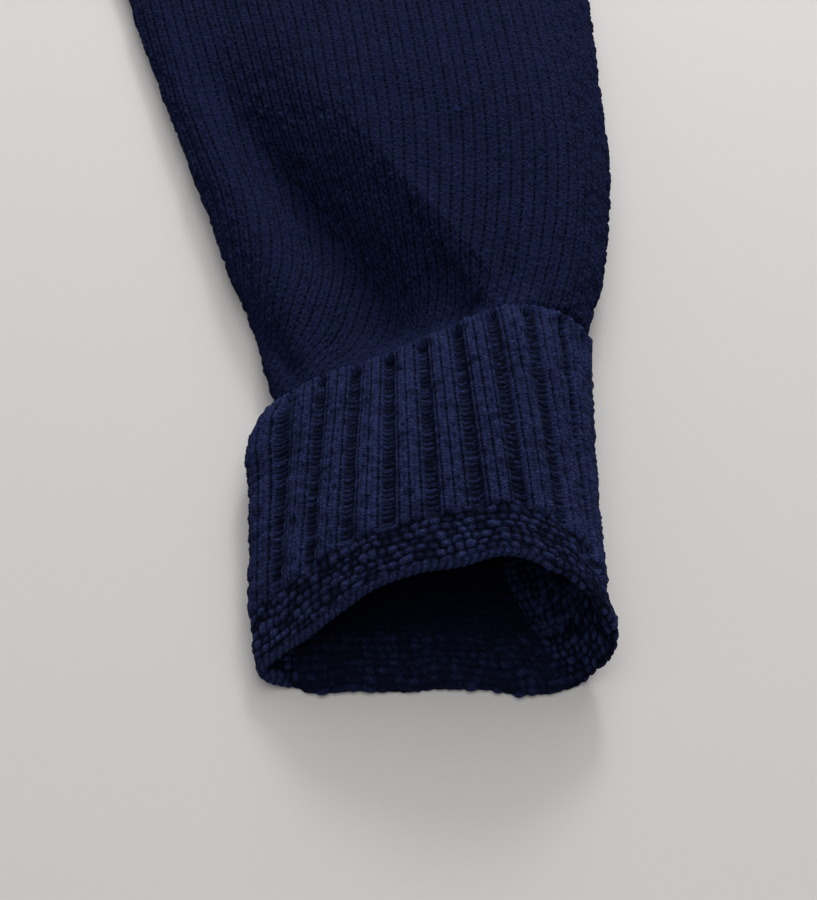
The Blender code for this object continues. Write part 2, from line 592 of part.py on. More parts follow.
def make_neckband(material):
    """The neckband, a flattened ring: its front lies over its back and turns over at the sides."""
    outer = []
    inner = []
    front_marks = rib_places(BAND_RIBS)
    back_marks = np.linspace(0.0, 1.0, BAND_BACK_COLUMNS + 1)
    turn = np.linspace(0.0, math.pi, BAND_TURN_COLUMNS + 1)[1:-1]
    left_turn = np.column_stack([-np.sin(turn), 0 * turn, np.cos(turn)])
    right_turn = np.column_stack([np.sin(turn), 0 * turn, np.cos(turn)])[::-1]
    ups = np.vstack([np.tile((0.0, 0.0, 1.0), (len(front_marks), 1)), left_turn,
                     np.tile((0.0, 0.0, -1.0), (len(back_marks), 1)), right_turn])
    raised = np.zeros(len(ups))
    raised[:len(front_marks)] = [rib_raise(k) for k in range(len(front_marks))]
    parted = smooth_step((1 - np.abs(2 * front_marks - 1)) / BAND_BLEND)
    low = 0.5 * WALL
    for share in np.linspace(0.0, 1.0, BAND_ROWS + 1):
        half = NECK_HALF - NECK_SEAM_GAP - BAND_TAPER * share
        corner = NECK_Y + SEAM_GAP + BAND_CORNER_RISE * share
        front_low = NECK_Y - FRONT_NECK_DROP + NECK_SEAM_GAP + BAND_WIDTH * share
        back_low = NECK_Y - BACK_NECK_DROP + NECK_SEAM_GAP + BAND_WIDTH * share
        front = neck_curve(half, corner, corner - front_low, front_marks)
        back = neck_curve(half, corner, corner - back_low, back_marks)[::-1]
        high = low + WALL + BAND_SIDE_GAP + BAND_OPEN[0] * share + (BAND_LIFT + BAND_OPEN[1] * share) * parted
        radius = 0.5 * (high[0] - low)
        middle = np.array([half, corner, low + radius])
        centres = np.vstack([np.column_stack([front, high]),
                             middle * (-1, 1, 1) + radius * left_turn,
                             np.column_stack([back, np.full(len(back), low)]),
                             middle + radius * right_turn])
        outer.append(centres + (0.5 * WALL + RIB_RAISE * raised)[:, None] * ups)
        inner.append(centres - 0.5 * WALL * ups)
    return wall("neckband", np.array(outer)[::-1], np.array(inner)[::-1], True, material)


def build():
    clear_scene()
    knit = wool("navy_stockinette", NAVY)
    rib = wool("navy_rib", NAVY_RIB)
    make_back(knit)
    make_front(knit)
    make_hem_back(rib)
    make_hem_front(rib)
    make_neckband(rib)
    make_sleeve("sleeve_left", SLEEVE_LEFT, False, knit)
    make_sleeve("sleeve_right", SLEEVE_RIGHT, True, knit)
    make_cuff("cuff_left", CUFF_LEFT, False, 0.0, rib)
    make_cuff("cuff_right", CUFF_RIGHT, True, RIGHT_CUFF_TURN, rib)


build()
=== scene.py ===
"""The looks of a crewneck sweater in chunky navy wool, laid flat with its front up.

Every panel of the frame is replaced by a thin knitted shell on the same form. The lower
left sleeve and its cuff, which the camera sees, have their stitches as real relief, and
the others have the same stitches as bump. Tables and sizes are in millimetres, in the
row's frame apart from Y_SHIFT, and the meshes are written in metres.
"""
import math

import bpy
import numpy as np
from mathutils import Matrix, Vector


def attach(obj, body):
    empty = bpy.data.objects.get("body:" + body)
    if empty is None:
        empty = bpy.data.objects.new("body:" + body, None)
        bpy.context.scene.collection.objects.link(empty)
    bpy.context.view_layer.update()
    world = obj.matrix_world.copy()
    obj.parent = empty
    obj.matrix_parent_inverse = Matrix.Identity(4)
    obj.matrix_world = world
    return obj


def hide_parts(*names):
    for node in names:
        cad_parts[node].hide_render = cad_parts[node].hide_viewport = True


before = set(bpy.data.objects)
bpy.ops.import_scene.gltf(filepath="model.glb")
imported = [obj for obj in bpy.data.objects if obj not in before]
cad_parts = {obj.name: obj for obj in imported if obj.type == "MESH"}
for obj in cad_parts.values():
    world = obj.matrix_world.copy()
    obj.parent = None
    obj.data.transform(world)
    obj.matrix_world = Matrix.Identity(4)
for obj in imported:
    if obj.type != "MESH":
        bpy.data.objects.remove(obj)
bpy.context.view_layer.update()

MM = 0.001

# Sizes of the garment
SHOULDER_HALF = 225.0      # centre to shoulder point
SHOULDER_FALL = 40.0       # neck point down to shoulder point
LENGTH = 670.0             # hem edge to neck point
CHEST_HALF = 268.0         # centre to underarm point
HEM_HALF = 248.0           # centre to side seam, at the rib
ARMHOLE_DEPTH = 230.0      # shoulder point down to underarm point
ARMHOLE_BOW = 10.0         # how far the armhole curves in from its chord
NECK_HALF = 88.0           # centre to neck point
FRONT_NECK_DROP = 90.0
BACK_NECK_DROP = 22.0
NECK_POWER = 2.4           # how square the neckline is
RIB_HEIGHT = 65.0          # hem rib
BAND_WIDTH = 25.0          # neckband, seam to free edge
BAND_CORNER_RISE = 19.0    # free edge above the neck point, where the band turns over
BAND_TAPER = 18.0          # free edge inside the neck point
SLEEVE_ANGLE = 45.0        # degrees that the sleeves spread from straight down
SLEEVE_OVERARM = 545.0     # the sleeve's origin up to the shoulder point, along the sleeve
SLEEVE_SHOULDER_SIDE = 36.0   # how far the shoulder point lies beyond the sleeve's axis
SIDE_CURVE = 0.8           # how soon the side seam widens over the hem rib

# The knitted wall
WALL = 2.4
RIB_RAISE = 1.4            # how far a rib's crest stands over its valley
SEAM_GAP = 0.3
NECK_SEAM_GAP = 0.7        # wider, because straight edges cut across the neck's curve
EDGE_TOP = 5.6             # top of the front where it meets the back
FRONT_RISE = 2.2           # how much higher the front lies away from its edges
EDGE_ROUND = 16.0          # how wide the front's rounded edge is
NECK_EDGE_LIFT = 0.9       # the share of that height that it keeps at the neckline
HEM_EDGE_LIFT = 0.2        # and at the hem's edge
NECK_BLEND = 30.0          # how far the neckline's height takes to reach the shoulder's
ARMHOLE_BLEND = 0.12       # the share of the armhole where the front's edge changes height

# The neckband's two layers
BAND_SIDE_GAP = 0.9        # between them where the band turns over
BAND_LIFT = 1.8            # how much more they part away from its sides
BAND_OPEN = (0.4, 0.8)     # how much each of these grows towards the free edge
BAND_BLEND = 0.35          # the share of each half where they part

# Ribs that show, one crest and one valley each
CUFF_RIBS = 14
HEM_RIBS = 45
BAND_RIBS = 26

NECK_Y = LENGTH
SHOULDER = np.array([SHOULDER_HALF, NECK_Y - SHOULDER_FALL])
UNDERARM = np.array([CHEST_HALF, NECK_Y - SHOULDER_FALL - ARMHOLE_DEPTH])
GARMENT_TOP = NECK_Y + BAND_CORNER_RISE + SEAM_GAP
Y_SHIFT = -0.5 * GARMENT_TOP   # puts the middle of the garment over the origin

# A tube's sections. Each row lies at "along", a distance up the sleeve's axis. "left"
# and "right" are its edges across the sleeve, the underarm edge first, and "turn" is how
# far it is turned in plan, in degrees. Its top runs from the left edge over a lobe, a
# dip, a roll, a crest and a brow to the right edge, each with its place and its height.
# "foot_l" and "foot_r" are how far in from its edges it comes down to the surface,
# "crease" is how sharply its crest breaks, and "lean" is how far it leans back as it rises.
SECTION = ("along", "left", "right", "turn", "left_z", "lobe", "lobe_z", "dip", "dip_z", "roll", "roll_z",
           "crest", "crest_z", "brow", "brow_z", "right_z", "foot_l", "foot_r", "crease", "lean")

# The left sleeve: one sharp fold runs from the cuff up and across to the underarm edge
SLEEVE_LEFT = (
    (14, -41.5, 48.5, 0, 8, -32, 17.5, -8, 26, 9, 33.5, 25, 38.5, 40, 33, 17, 6, 12, 0, 0.15),
    (20, -42.5, 51.5, 0, 8, -32, 16.5, -8, 18.5, 11, 27.5, 25.5, 36.5, 42, 33.5, 17, 6, 12, 0.7, 0.15),
    (30, -44, 57, 0, 7, -33, 16, -7, 10.5, 9, 23.5, 23.5, 35.5, 46, 34, 16, 6, 11, 0.85, 0.14),
    (46, -46.5, 63, 0, 7, -35, 18, -8, 8, 4, 22.5, 17, 34.8, 52, 33.5, 15, 5, 10, 0.9, 0.12),
    (66, -50, 69, 0, 7, -39, 18, -16, 7, -5, 21.5, 7.5, 34, 57, 33, 14, 5, 9, 0.75, 0.08),
    (90, -54, 73.5, 0, 7, -44, 16.5, -27, 8, -16, 20, -3, 32, 60, 33, 14, 5, 8, 0.4, 0.04),
    (116, -58.5, 77, 0, 7, -50, 14, -38, 10.5, -27, 18.5, -11, 29, 62, 32, 13, 5, 7, 0.15, 0),
    (140, -63, 80.5, 0, 6, -56, 12.5, -46, 13, -35, 17.5, -18, 25.5, 64, 30, 12, 5, 6, 0, 0),
    (170, -68, 84, 0, 5.5, -60, 11.5, -51, 13, -41, 15.5, -26, 20.5, 64, 26, 10, 5, 6, 0, 0),
    (215, -76, 89, 0, 5, -66, 11.5, -50, 12, -40, 13.3, -28, 16, 66, 21, 8, 5, 6, 0, 0),
    (285, -87.4, 94.4, 10, 5, -76, 11.5, -40, 13.5, -20, 12.9, 0, 12, 66, 18, 7, 5, 6, 0, 0),
    (340, -100, 102, 25, 4.5, -86, 11, -44, 12.5, -21, 13.5, 2, 14, 70, 15, 6, 5, 5, 0, 0),
    (400, -122.5, 107.5, 42, 4, -104, 9.5, -56, 10, -28, 10.3, 0, 10.5, 74, 10, 4.5, 5, 5, 0, 0),
    (448.4, -146.5, 87.5, 55.6, 3.6, -121, 7.8, -62, 7.9, -31, 7.9, 0, 7.9, 64, 7.8, 3.6, 5, 5, 0, 0),
)

# The right sleeve lies flatter, with a shallower fold
SLEEVE_RIGHT = (
    (14, -42, 48, 0, 7, -30, 19, -8, 24, 7, 27.5, 22, 30, 38, 27, 13, 6, 8, 0, 0.12),
    (20, -44, 51, 0, 7, -32, 19, -9, 21, 6, 25.3, 21, 28.5, 41, 26, 13, 6, 8, 0, 0.12),
    (32, -48, 58, 0, 7, -37, 20, -12, 16, 1.5, 21.6, 14, 26, 46, 25, 12, 6, 7, 0.2, 0.1),
    (52, -52, 65, 0, 7, -41, 21, -14, 12, -2, 18.6, 8, 24, 52, 23, 11, 5, 7, 0.4, 0.05),
    (84, -57, 71, 0, 7, -45, 22, -12, 11, -1.5, 16, 8, 20, 56, 20, 10, 5, 6, 0.4, 0),
    (120, -62, 77, 0, 7, -48, 22, -6, 10.5, 5.5, 14, 16, 17, 60, 18, 9, 5, 6, 0.3, 0),
    (165, -69, 83, 0, 6, -50, 19, 4, 10, 15, 13.2, 26, 15.5, 66, 16, 8, 5, 6, 0.2, 0),
    (215, -77, 89, 0, 5.5, -52, 15.5, 8, 10.5, 21, 13, 34, 15, 70, 14.5, 7, 5, 6, 0.1, 0),
    (285, -87.4, 94.4, 10, 5, -62, 13, 0, 11.5, 18, 14.6, 36, 17, 72, 14, 7, 5, 6, 0, 0),
    (340, -100, 102, 25, 4.5, -80, 12, -20, 14, 2, 13, 24, 11.5, 74, 14, 6, 5, 5, 0, 0),
    (400, -122.5, 107.5, 42, 4, -104, 9.5, -56, 10.5, -28, 10.3, 0, 10, 74, 10, 4.5, 5, 5, 0, 0),
    (448.4, -146.5, 87.5, 55.6, 3.6, -121, 7.8, -62, 7.9, -31, 7.9, 0, 7.9, 64, 7.8, 3.6, 5, 5, 0, 0),
)

# The cuffs, from the seam to the open mouth, which leans back over the hand's hollow
CUFF_LEFT = (
    (14, -41.5, 48.5, 0, 8, -32, 17.5, -8, 26, 9, 33.5, 25, 38.5, 40, 33, 17, 6, 12, 0, 0.15),
    (7, -48, 46.5, -2, 8, -38, 19, -10, 27.5, 7, 35.5, 24, 41, 38, 34, 17, 6, 14, 0, 0.18),
    (-4, -52, 44, -5, 8, -42, 19, -12, 29, 4.5, 36.8, 21, 42, 36, 34, 17, 7, 16, 0, 0.24),
    (-20, -54, 40.5, -8, 8, -44, 18, -19, 30.5, 0, 38, 18, 42.5, 32, 33, 17, 7, 21, 0, 0.36),
    (-38, -56.5, 37, -10, 7, -48, 16.5, -25, 31.5, -5, 38.5, 14, 42, 28, 32.5, 18, 8, 23, 0, 0.47),
    (-54, -58.5, 34.5, -11, 6.5, -51, 15, -28, 32, -8, 38.5, 11, 41.5, 27, 32, 18, 9, 17, 0, 0.55),
    (-71.5, -59.5, 35, -11, 6, -53, 12, -31, 30, -10, 38, 9, 41, 26.5, 31, 17, 11, 9, 0, 0.6),
)
CUFF_RIGHT = (
    (14, -42, 48, 0, 7, -30, 19, -8, 24, 7, 27.5, 22, 30, 38, 27, 13, 6, 8, 0, 0.12),
    (7, -48, 51, 0, 7, -35, 20, -10, 25, 5.5, 28.5, 21, 31, 40, 28, 13, 7, 9, 0, 0.14),
    (-4, -51, 51.5, 0, 7, -38, 21, -12, 26, 3.5, 29.6, 19, 32, 40, 28, 13, 8, 9, 0, 0.18),
    (-20, -51.5, 50.5, 0, 7, -38, 22, -12, 27, 2.5, 30.5, 17, 33, 38, 28, 14, 8, 9, 0, 0.24),
    (-38, -51, 49, 0, 7, -37, 23, -12, 29, 2, 32.4, 16, 35, 38, 29, 14, 8, 9, 0, 0.3),
    (-54, -50.5, 48.5, 0, 7, -36, 24, -12, 30, 1.5, 33.4, 15, 36, 38, 30, 14, 8, 9, 0, 0.34),
    (-71.5, -50, 48, 0, 7, -36, 24, -12, 31, 1.5, 34.4, 15, 37, 38, 30, 14, 8, 9, 0, 0.38),
)
CUFF_LENGTH = 85.5         # the cuff's stretch of "along"
CUFF_EDGE = 14.0           # the knitted band at its mouth, where the ribs end
EDGE_RAISE = 1.0           # how far that band stands over the valleys
RIGHT_CUFF_TURN = -5.69    # degrees that the right cuff is laid aslant
CUFF_SWING = 1.5           # how much more it swings towards its mouth

# Soft folds in the front: a ridge from one end to the other, its width and its height
FOLD = ("x0", "y0", "x1", "y1", "width", "height")
FRONT_FOLDS = (
    (-235, 425, -110, 250, 26, 7.5),
    (-205, 330, -60, 120, 22, 5.0),
    (232, 440, 120, 300, 24, 7.0),
    (215, 345, 95, 95, 28, 6.0),
    (-60, 520, 70, 478, 30, 4.0),
    (-150, 560, -118, 440, 24, 4.5),
    (160, 575, 112, 455, 22, 5.0),
    (-40, 330, 60, 60, 34, 4.5),
    (-150, 160, -175, 20, 24, 4.0),
    (20, 190, -70, 10, 26, 3.5),
)

# Small creases in the lower left sleeve, with the same columns: x is along the sleeve
# and y across it, and the height is how far the cloth sinks
CREASES = (
    (60, -51, 21, -35, 3.2, 2.0),
    (34, -22, 17, -16, 3.5, 1.2),
    (36, 30, 17, 22, 3.0, 1.0),
    (44, 47, 19, 37, 3.4, 1.3),
    (104, 10, 66, 33, 6.0, 0.8),
    (68, 7.5, 15, 26, 2.0, -0.8),
    (46, 9, 15, 18, 5.0, 1.6),
)

FOLD_BEND = 0.05           # how far a fold's middle swings aside, as a share of its length
FOLD_ENDS = (0.3, 0.35, 0.0)    # the shares of its length over which it rises and falls
CREASE_ENDS = (0.3, 0.3, 0.5)   # the same for a crease, and how much of that lies past its ends
CREASE_FLOOR = (2.0, 4.0)  # the height where creases start, and how much higher they are whole
RIPPLES = ((38, 55, 0.8, 11.0), (17, 23, 0.4, 12.0))   # the front's: across, up, height and salt
RIPPLE_EDGE = 30.0         # how far in from the front's edges they are whole
RIPPLE_HEM = 60.0          # and from the hem's lower edge

CUFF_SEAM = 14.0           # where the sleeve's stretch of "along" starts
CREST_PLACE = 5            # the crest's number among a section's places
SPLINE_POWER = 0.8         # how a section's curve is paced between its places
BOW_BLEND = 130.0          # the stretch of a sleeve that takes up the armhole's curve

# The stitches
WALE = 3.55                # width of a stitch
ROW = 2.4                  # height of a stitch
LEG_RISE = 1.0             # rows that each leg of a stitch climbs
STITCH_HIGH = 1.0          # how far a stitch stands over the gaps between stitches
STITCH_MIDDLE = 0.75       # the share of that height that lies level with the cloth's surface
STITCH_HOLE = 0.75         # how much deeper the small hole in each stitch is
HOLE_PLACE = 0.55          # where it lies, as a share of the stitch's row
HOLE_SIZE = (0.30, 0.28)   # its half width and half height, as shares
STITCH_SHIFT = 0.22        # how uneven their places are, as a share of a row
STITCH_UNEVEN = (0.78, 0.44)   # the lowest stitch, and how much higher the highest is
YARN_WAVE = (5.0, 6.0, 0.3)   # wales, rows and height of the unevenness over several stitches
SLOPE_COARSE = 1.3         # how much coarser the stitches look where the cloth is steep
SLOPE_FROM = (0.96, 0.70)  # the upward share of its normal where that starts and is full
SLEEVE_WALES = 53          # the wale at a sleeve's right edge, and the others count down from it
PANEL_WALES = 200.5        # the wale at the middle of a body panel
NEAR_END = 177.0           # the stretch of the left sleeve with its stitches in relief
NEAR_SPLIT = 95.5          # where its mesh is divided
NEAR_FADE = 5.0            # how far before its end the relief fades out
SIDE_FADE = 0.03           # the share of the way round the top over which it starts
SEAM_DROP = 1.6            # how far the sleeve sinks into its seam with the cuff
SEAM_WIDE = 3.0            # and how far up the sleeve that reaches

# The cuffs' ribs
RIB_WALES = 4              # wales to a rib, its valley included
UNDER_RIBS = 6             # ribs across a cuff's underside
CUFF_ROW = 1.9             # height of a stitch in the cuffs
RIB_HIGH = 2.0             # how high the cuff's ribs stand
RIB_DEEP = 1.3             # and how far their valleys sink
RIB_MIDDLE = 0.44          # the middle of a crest, as a share of its repeat
RIB_CROWN = 0.16           # how much lower a crest is at its sides
RIB_ROUND = (0.52, 0.84)   # where a rib's side falls, from its middle to the valley's
CREST_HIGH = 1.35          # how much higher the stitches on the ribs stand than the sleeve's
CREST_ROUGH = 0.4          # and how uneven their yarn is
ROUGH_SCALE = (1.7, 1.3)   # patches of that unevenness to a wale and to a row
VALLEY_SHIFT = 0.3333      # wales that the ladder's middle lies from its own wale's
VALLEY_START = 0.9         # how far from the seam the valleys start
VALLEY_RISE = 1.6          # over how far they open there
ARCH = 1.9                 # how much later they start at their sides than in their middle
BAR_SUNK = 0.3             # how far the gaps between the ladder's bars lie under their floor
VALLEY_FROM = (0.45, 0.75)   # how sunk a rib's side is where the ladder starts and is whole
SEAM_RISE = 1.2            # over how far from the seam the relief rises
RIBS_BLEND = 2.0           # over how far the ribs turn into the band at the mouth
FOOT_SHARE = 0.04          # the share of a cuff's top line over which its ribs rise from the surface
STRAIGHT_FROM = 0.06       # how far round a cuff its ribs start to be straightened
STRAIGHT_RISE = 0.12       # and how much farther they are fully straight
EVEN_SHARE = 0.02          # the even spacing that is kept there, so that no points meet
FAN = 9.0                  # how far the ribs lean aside towards the mouth, where it is most
FAN_PLACES = (0.15, 0.55, 0.66, 0.86)   # how far round it starts, is full, falls off and ends
UPRIGHT = 0.46             # how far up the picture a millimetre of height reads, along the ground

# The band and the lip at a cuff's mouth
GARTER_WIDE = 2.9          # width of the band's beads
GARTER_ROW = 2.2           # height of their rows
GARTER_HIGH = 1.5
PURL_NARROW = 1.1          # how much narrower the beads on the cuff's inside are
INSIDE_HIGH = 0.8          # the height of the beads inside, as a share of those outside
LIP_BRAID = 2.1            # the small bumps along its very edge, over the mouth's left part
LIP_HIGH = 0.4
LIP_SHARP = 1.2            # how narrow their tops are
LIP_SLANT = 0.3            # how far they slant, in bumps for each millimetre
LIP_WAVE = (6.0, 0.3)      # the length and size of the unevenness along them
LIP_WIDE = 1.1             # how wide that edge is
LIP_THIN = 0.55            # the share of the wall's thickness that is left there
LIP_TAPER = 6.0            # how far from the edge the wall starts to thin
LIP_END = 0.62             # the share of the way round the top where the small bumps end
LIP_ENDS = (0.04, 0.06)    # over how much of it they rise and fall
MOUTH_WAVE = 0.9           # how far the mouth's edge waves in and out
MOUTH_WAVE_LONG = 11.0     # the length of such a wave
CORNER_BACK = 6.0          # how far its corner on the surface is drawn back
CORNER = (10.0, 36.0, 14.0)   # from where to where across the sleeve, and up to which height
INNER_WALL = (0.76, 0.84)  # the share of the way round where the inner right wall starts

# How finely the shells are divided
NEAR_COLUMNS = 10          # columns to a wale
NEAR_ROWS = 5              # rings to a row of stitches
NEAR_INNER = 21            # rings on the inside of the near sleeve
FAR_COLUMNS = 2
FAR_STEP = 3.0             # millimetres between rings where the stitches are bump
SLEEVE_UNDER = 10          # columns across a sleeve's underside
CUFF_FINE = (6, 3.3)       # columns to a wale and rings to a row on the left cuff
CUFF_COARSE = (3, 1.5)     # and on the right
CUFF_UNDER = 12            # wales across a cuff's underside
EDGE_FINER = 1.3           # how much finer the mouth's band is divided
INSIDE_SEEN = 22.0         # how far in the cuff's inside is finely divided
INSIDE_REST = 10           # rings on the rest of it
TURN_STEPS = 8             # steps round an edge
FRONT_STEP = 4.0           # millimetres between the front's points
BACK_STEP = 9.0
RIB_COLUMNS = 10           # columns to a rib of the hem and the neckband
HEM_ROWS = 22
HEM_BACK = (60, 9)         # columns and rows
BAND_ROWS = 14
BAND_BACK = 91             # columns
SPAN_POINTS = 40           # points on each span of a section before they are spaced
LINE_SAMPLES = 400         # points on a line that is then spaced evenly

# The wool's colours. The ribs' colour is lighter, painted light for the light on their crests,
# and the pieces without relief are darker, painted shade for the shadows it would cast
NAVY = (0.0068, 0.0100, 0.037, 1.0)
NAVY_FAR_PAINTED_SHADE = (0.0062, 0.0092, 0.0345, 1.0)
NAVY_RIB_PAINTED_LIGHT = (0.0158, 0.0228, 0.074, 1.0)
FLOOR_TONES = ((0.66, 0.645, 0.637, 1.0), (0.68, 0.665, 0.657, 1.0))

# The wool's shader, where noise scales are in patches to the metre
WOBBLE = (260.0, 0.25)     # the scale of the unevenness of rows, and its size in rows
STRANDS = (2.6, 1.7)       # strands across a stitch and along it
FUZZ_SCALE = 1500.0        # loose fibres
CLOUD_SCALE = 30.0         # soft patches of lighter and darker wool
GAP_SHADE_SHARE = 0.12           # painted shade: the share of the colour in the gaps between stitches
FUZZ_HIGHLIGHT = (2.5, 0.004)    # painted highlights on loose fibres: how many times lighter they are, and what is added
GAP_SHADE_RANGE = (0.10, 0.85)   # the heights in a stitch from its gap's painted shade to its own colour
FUZZ_HIGHLIGHT_RANGE = (0.50, 0.70)  # the noise from no fibres with painted highlights to dense ones
FUZZ_HIGHLIGHT_SHARE = 0.6           # how much of the fibres' painted highlight shows
SHADE = (0.62, 0.28, 0.22)    # the lowest, and what the clouds and the darkest fibres add
DARK_RANGE = (0.36, 0.50)  # the noise of those fibres
BUMPS = (1.7, 0.35, 0.5)   # the share of stitches not in relief, of strands and of fibres
BUMP_STRENGTH = 0.9
BUMP_HIGH = 0.0007         # metres
SHEEN_TINT = (0.35, 0.45, 1.0, 1.0)

# Painted shade on the stitched cuff: how light each part of its relief is painted, from 0
# in a gap, where shade falls, to 1
BEAD_SHADE_CONTRAST = 1.3        # the power of the beads' own height, for painted shade between them
LIP_PAINTED_SHADE = (0.15, 0.5)     # painted shade on the lip's small bumps: the lowest, and how much lighter their tops are
CREST_SHADE_AND_TONE = (0.86, 0.3)   # painted shade in the gaps: the stitches' share, and how uneven it is
BAR_GAP_SHADE = 0.7             # the ladder's share, painted shade between its bars
INSIDE_SHADE_AND_WALL_LIGHT = (0.3, 0.8)   # painted shade: the inside's share, and painted light: how much lighter its right wall is
INNER_FLOOR_SHADE = (0.2, 0.3)    # painted shade: the lowest on the inner floor, and the share of the relief there

# The picture
ELEVATION = 65.0           # degrees of the camera over the surface
DISTANCE = 0.395           # metres from the camera to the point that it looks at
PICTURE_TURN = 10.4        # degrees between the sleeve's axis and the picture's upright
LENS = 36.0                # focal length in millimetres
SENSOR_HEIGHT = 24.0
LOOK_AT = (-6.0, -1.0)     # that point, to the picture's right and up from the sleeve's origin
WHITE = (1.0, 1.0, 1.0)
DAYLIGHT = (1.0, 0.99, 0.98)

# The lights, in metres from that point: to the picture's right, up it, high, how wide,
# and then the watts and the colour
LIGHTS = {
    "window": (0.18, 0.85, 0.75, 0.9, 4.8, DAYLIGHT),
    "low_window": (0.20, 1.10, 0.74, 0.25, 5.0, DAYLIGHT),
    "ceiling": (0.0, 0.30, 2.0, 2.2, 17.6, WHITE),
}
SKY = (1.0, 0.99, 0.985, 1.0)
SKY_STRENGTH = 0.24
FLOOR_HALF = 2.5           # metres
FLOOR_DROP = 0.0002        # metres that the floor lies under the cloth


def smooth_step(value):
    """0 below 0, 1 above 1 and an easy rise between."""
    t = np.clip(value, 0.0, 1.0)
    return t * t * (3.0 - 2.0 * t)


def blend(first, second, share):
    """The first value where the share is 0 and the second where it is 1."""
    return first + (second - first) * share


def quarter_round(value):
    """The height of a quarter circle, from 0 at its edge to 1."""
    t = np.clip(value, 0.0, 1.0)
    return np.sqrt(1.0 - (1.0 - t) ** 2)


def spline(knots, values, at, first=None, last=None, crease=None):
    """A smooth curve through values at knots, read at the places given.

    "crease" is a knot's number and how sharply the curve breaks there, from 0 to 1.
    """
    knots = np.asarray(knots, float)
    values = np.asarray(values, float)
    at = np.atleast_1d(np.asarray(at, float))
    steps = np.diff(knots)[:, None]
    slopes = np.diff(values, axis=0) / steps
    leave = np.empty_like(values)
    leave[1:-1] = (slopes[:-1] * steps[1:] + slopes[1:] * steps[:-1]) / (steps[:-1] + steps[1:])
    leave[0] = slopes[0] if first is None else first
    leave[-1] = slopes[-1] if last is None else last
    arrive = leave.copy()
    if crease is not None:
        knot, sharp = crease
        arrive[knot] += sharp * (slopes[knot - 1] - arrive[knot])
        leave[knot] += sharp * (slopes[knot] - leave[knot])
    span = np.clip(np.searchsorted(knots, at, side="right") - 1, 0, len(knots) - 2)
    width = steps[span]
    t = (at - knots[span])[:, None] / width
    return (values[span] * (1 + 2 * t) * (1 - t) ** 2 + leave[span] * width * t * (1 - t) ** 2
            + values[span + 1] * t * t * (3 - 2 * t) + arrive[span + 1] * width * t * t * (t - 1))


def read_row(table, along):
    """The section at any distance along a tube, as a value for each column."""
    rows = np.array(sorted(table), float)
    values = spline(rows[:, 0], rows, [along])[0]
    return dict(zip(SECTION, values))


def section_top(row):
    """The section's outer line, from its left foot over the top to its right foot."""
    places = np.array([
        (row["left"] + row["foot_l"], 0.0),
        (row["left"], row["left_z"]),
        (row["lobe"], row["lobe_z"]),
        (row["dip"], row["dip_z"]),
        (row["roll"], row["roll_z"]),
        (row["crest"], row["crest_z"]),
        (row["brow"], row["brow_z"]),
        (row["right"], row["right_z"]),
        (row["right"] - row["foot_r"], 0.0),
    ])
    apart = np.linalg.norm(np.diff(places, axis=0), axis=1)
    knots = np.concatenate([[0.0], np.cumsum(apart ** SPLINE_POWER)])
    scale = apart.mean() / np.diff(knots).mean()
    at = [knots[0]]
    for low, high in zip(knots[:-1], knots[1:]):
        at.extend(low + (high - low) * np.arange(1, SPAN_POINTS + 1) / SPAN_POINTS)
    ends = np.array([-scale, 0.0])
    line = spline(knots, places, at, ends, ends, crease=(CREST_PLACE, row["crease"]))
    line[:, 1] = np.maximum(line[:, 1], 0.0)
    return line


def read_evenly(line, shares):
    """Points on a line at the shares of its length given."""
    run = np.concatenate([[0.0], np.cumsum(np.linalg.norm(np.diff(line, axis=0), axis=1))])
    return np.stack([np.interp(shares * run[-1], run, line[:, k]) for k in (0, 1)], axis=1)


# Where the garment's outline runs, in plan

def sleeve_axes():
    """The left sleeve's own frame: its origin, its axis and the way across it."""
    turn = math.radians(SLEEVE_ANGLE)
    axis = np.array([-math.sin(turn), math.cos(turn)])
    across = np.array([math.cos(turn), math.sin(turn)])
    origin = SHOULDER - SLEEVE_OVERARM * axis - SLEEVE_SHOULDER_SIDE * across
    return origin, axis, across


def armhole(share):
    """The armhole seam, from the underarm point (0) to the shoulder point (1)."""
    share = np.asarray(share, float)[..., None]
    chord = SHOULDER - UNDERARM
    inward = np.array([-chord[1], chord[0]]) / np.linalg.norm(chord)
    return UNDERARM + chord * share + ARMHOLE_BOW * 4 * share * (1 - share) * inward


def side_seam(height):
    """Centre to side seam at a height over the hem rib's seam."""
    share = np.clip((height - RIB_HEIGHT) / (UNDERARM[1] - RIB_HEIGHT), 0.0, 1.0)
    return HEM_HALF + (CHEST_HALF - HEM_HALF) * np.sin(0.5 * np.pi * share) ** SIDE_CURVE


def neckline(x, half, corner, drop):
    """A neckline's height at x: level with its corners at the sides and lower between."""
    share = np.clip(np.abs(x) / half, 0.0, 1.0)
    return corner - drop * (1.0 - share ** NECK_POWER)


def top_edge(x, drop):
    """The panel's top edge: the neckline, then the shoulder."""
    fall = SHOULDER_FALL * (np.abs(x) - NECK_HALF) / (SHOULDER_HALF - NECK_HALF)
    return np.where(np.abs(x) < NECK_HALF, neckline(x, NECK_HALF, NECK_Y, drop), NECK_Y - fall)


# How high the front lies

def ridges(rows, first, second, bend, ends):
    """Soft ridges, added together, over any two coordinates."""
    rise, fall, beyond = ends
    height = np.zeros(np.broadcast(first, second).shape)
    for row in rows:
        fold = dict(zip(FOLD, row))
        run = np.array([fold["x1"] - fold["x0"], fold["y1"] - fold["y0"]], float)
        length = np.linalg.norm(run)
        run /= length
        along = ((first - fold["x0"]) * run[0] + (second - fold["y0"]) * run[1]) / length
        aside = (first - fold["x0"]) * run[1] - (second - fold["y0"]) * run[0]
        aside = aside + bend * length * np.sin(np.pi * along)
        kept = smooth_step(along / rise + beyond) * smooth_step((1 - along) / fall + beyond)
        height += fold["height"] * kept * np.exp(-(aside / fold["width"]) ** 2)
    return height


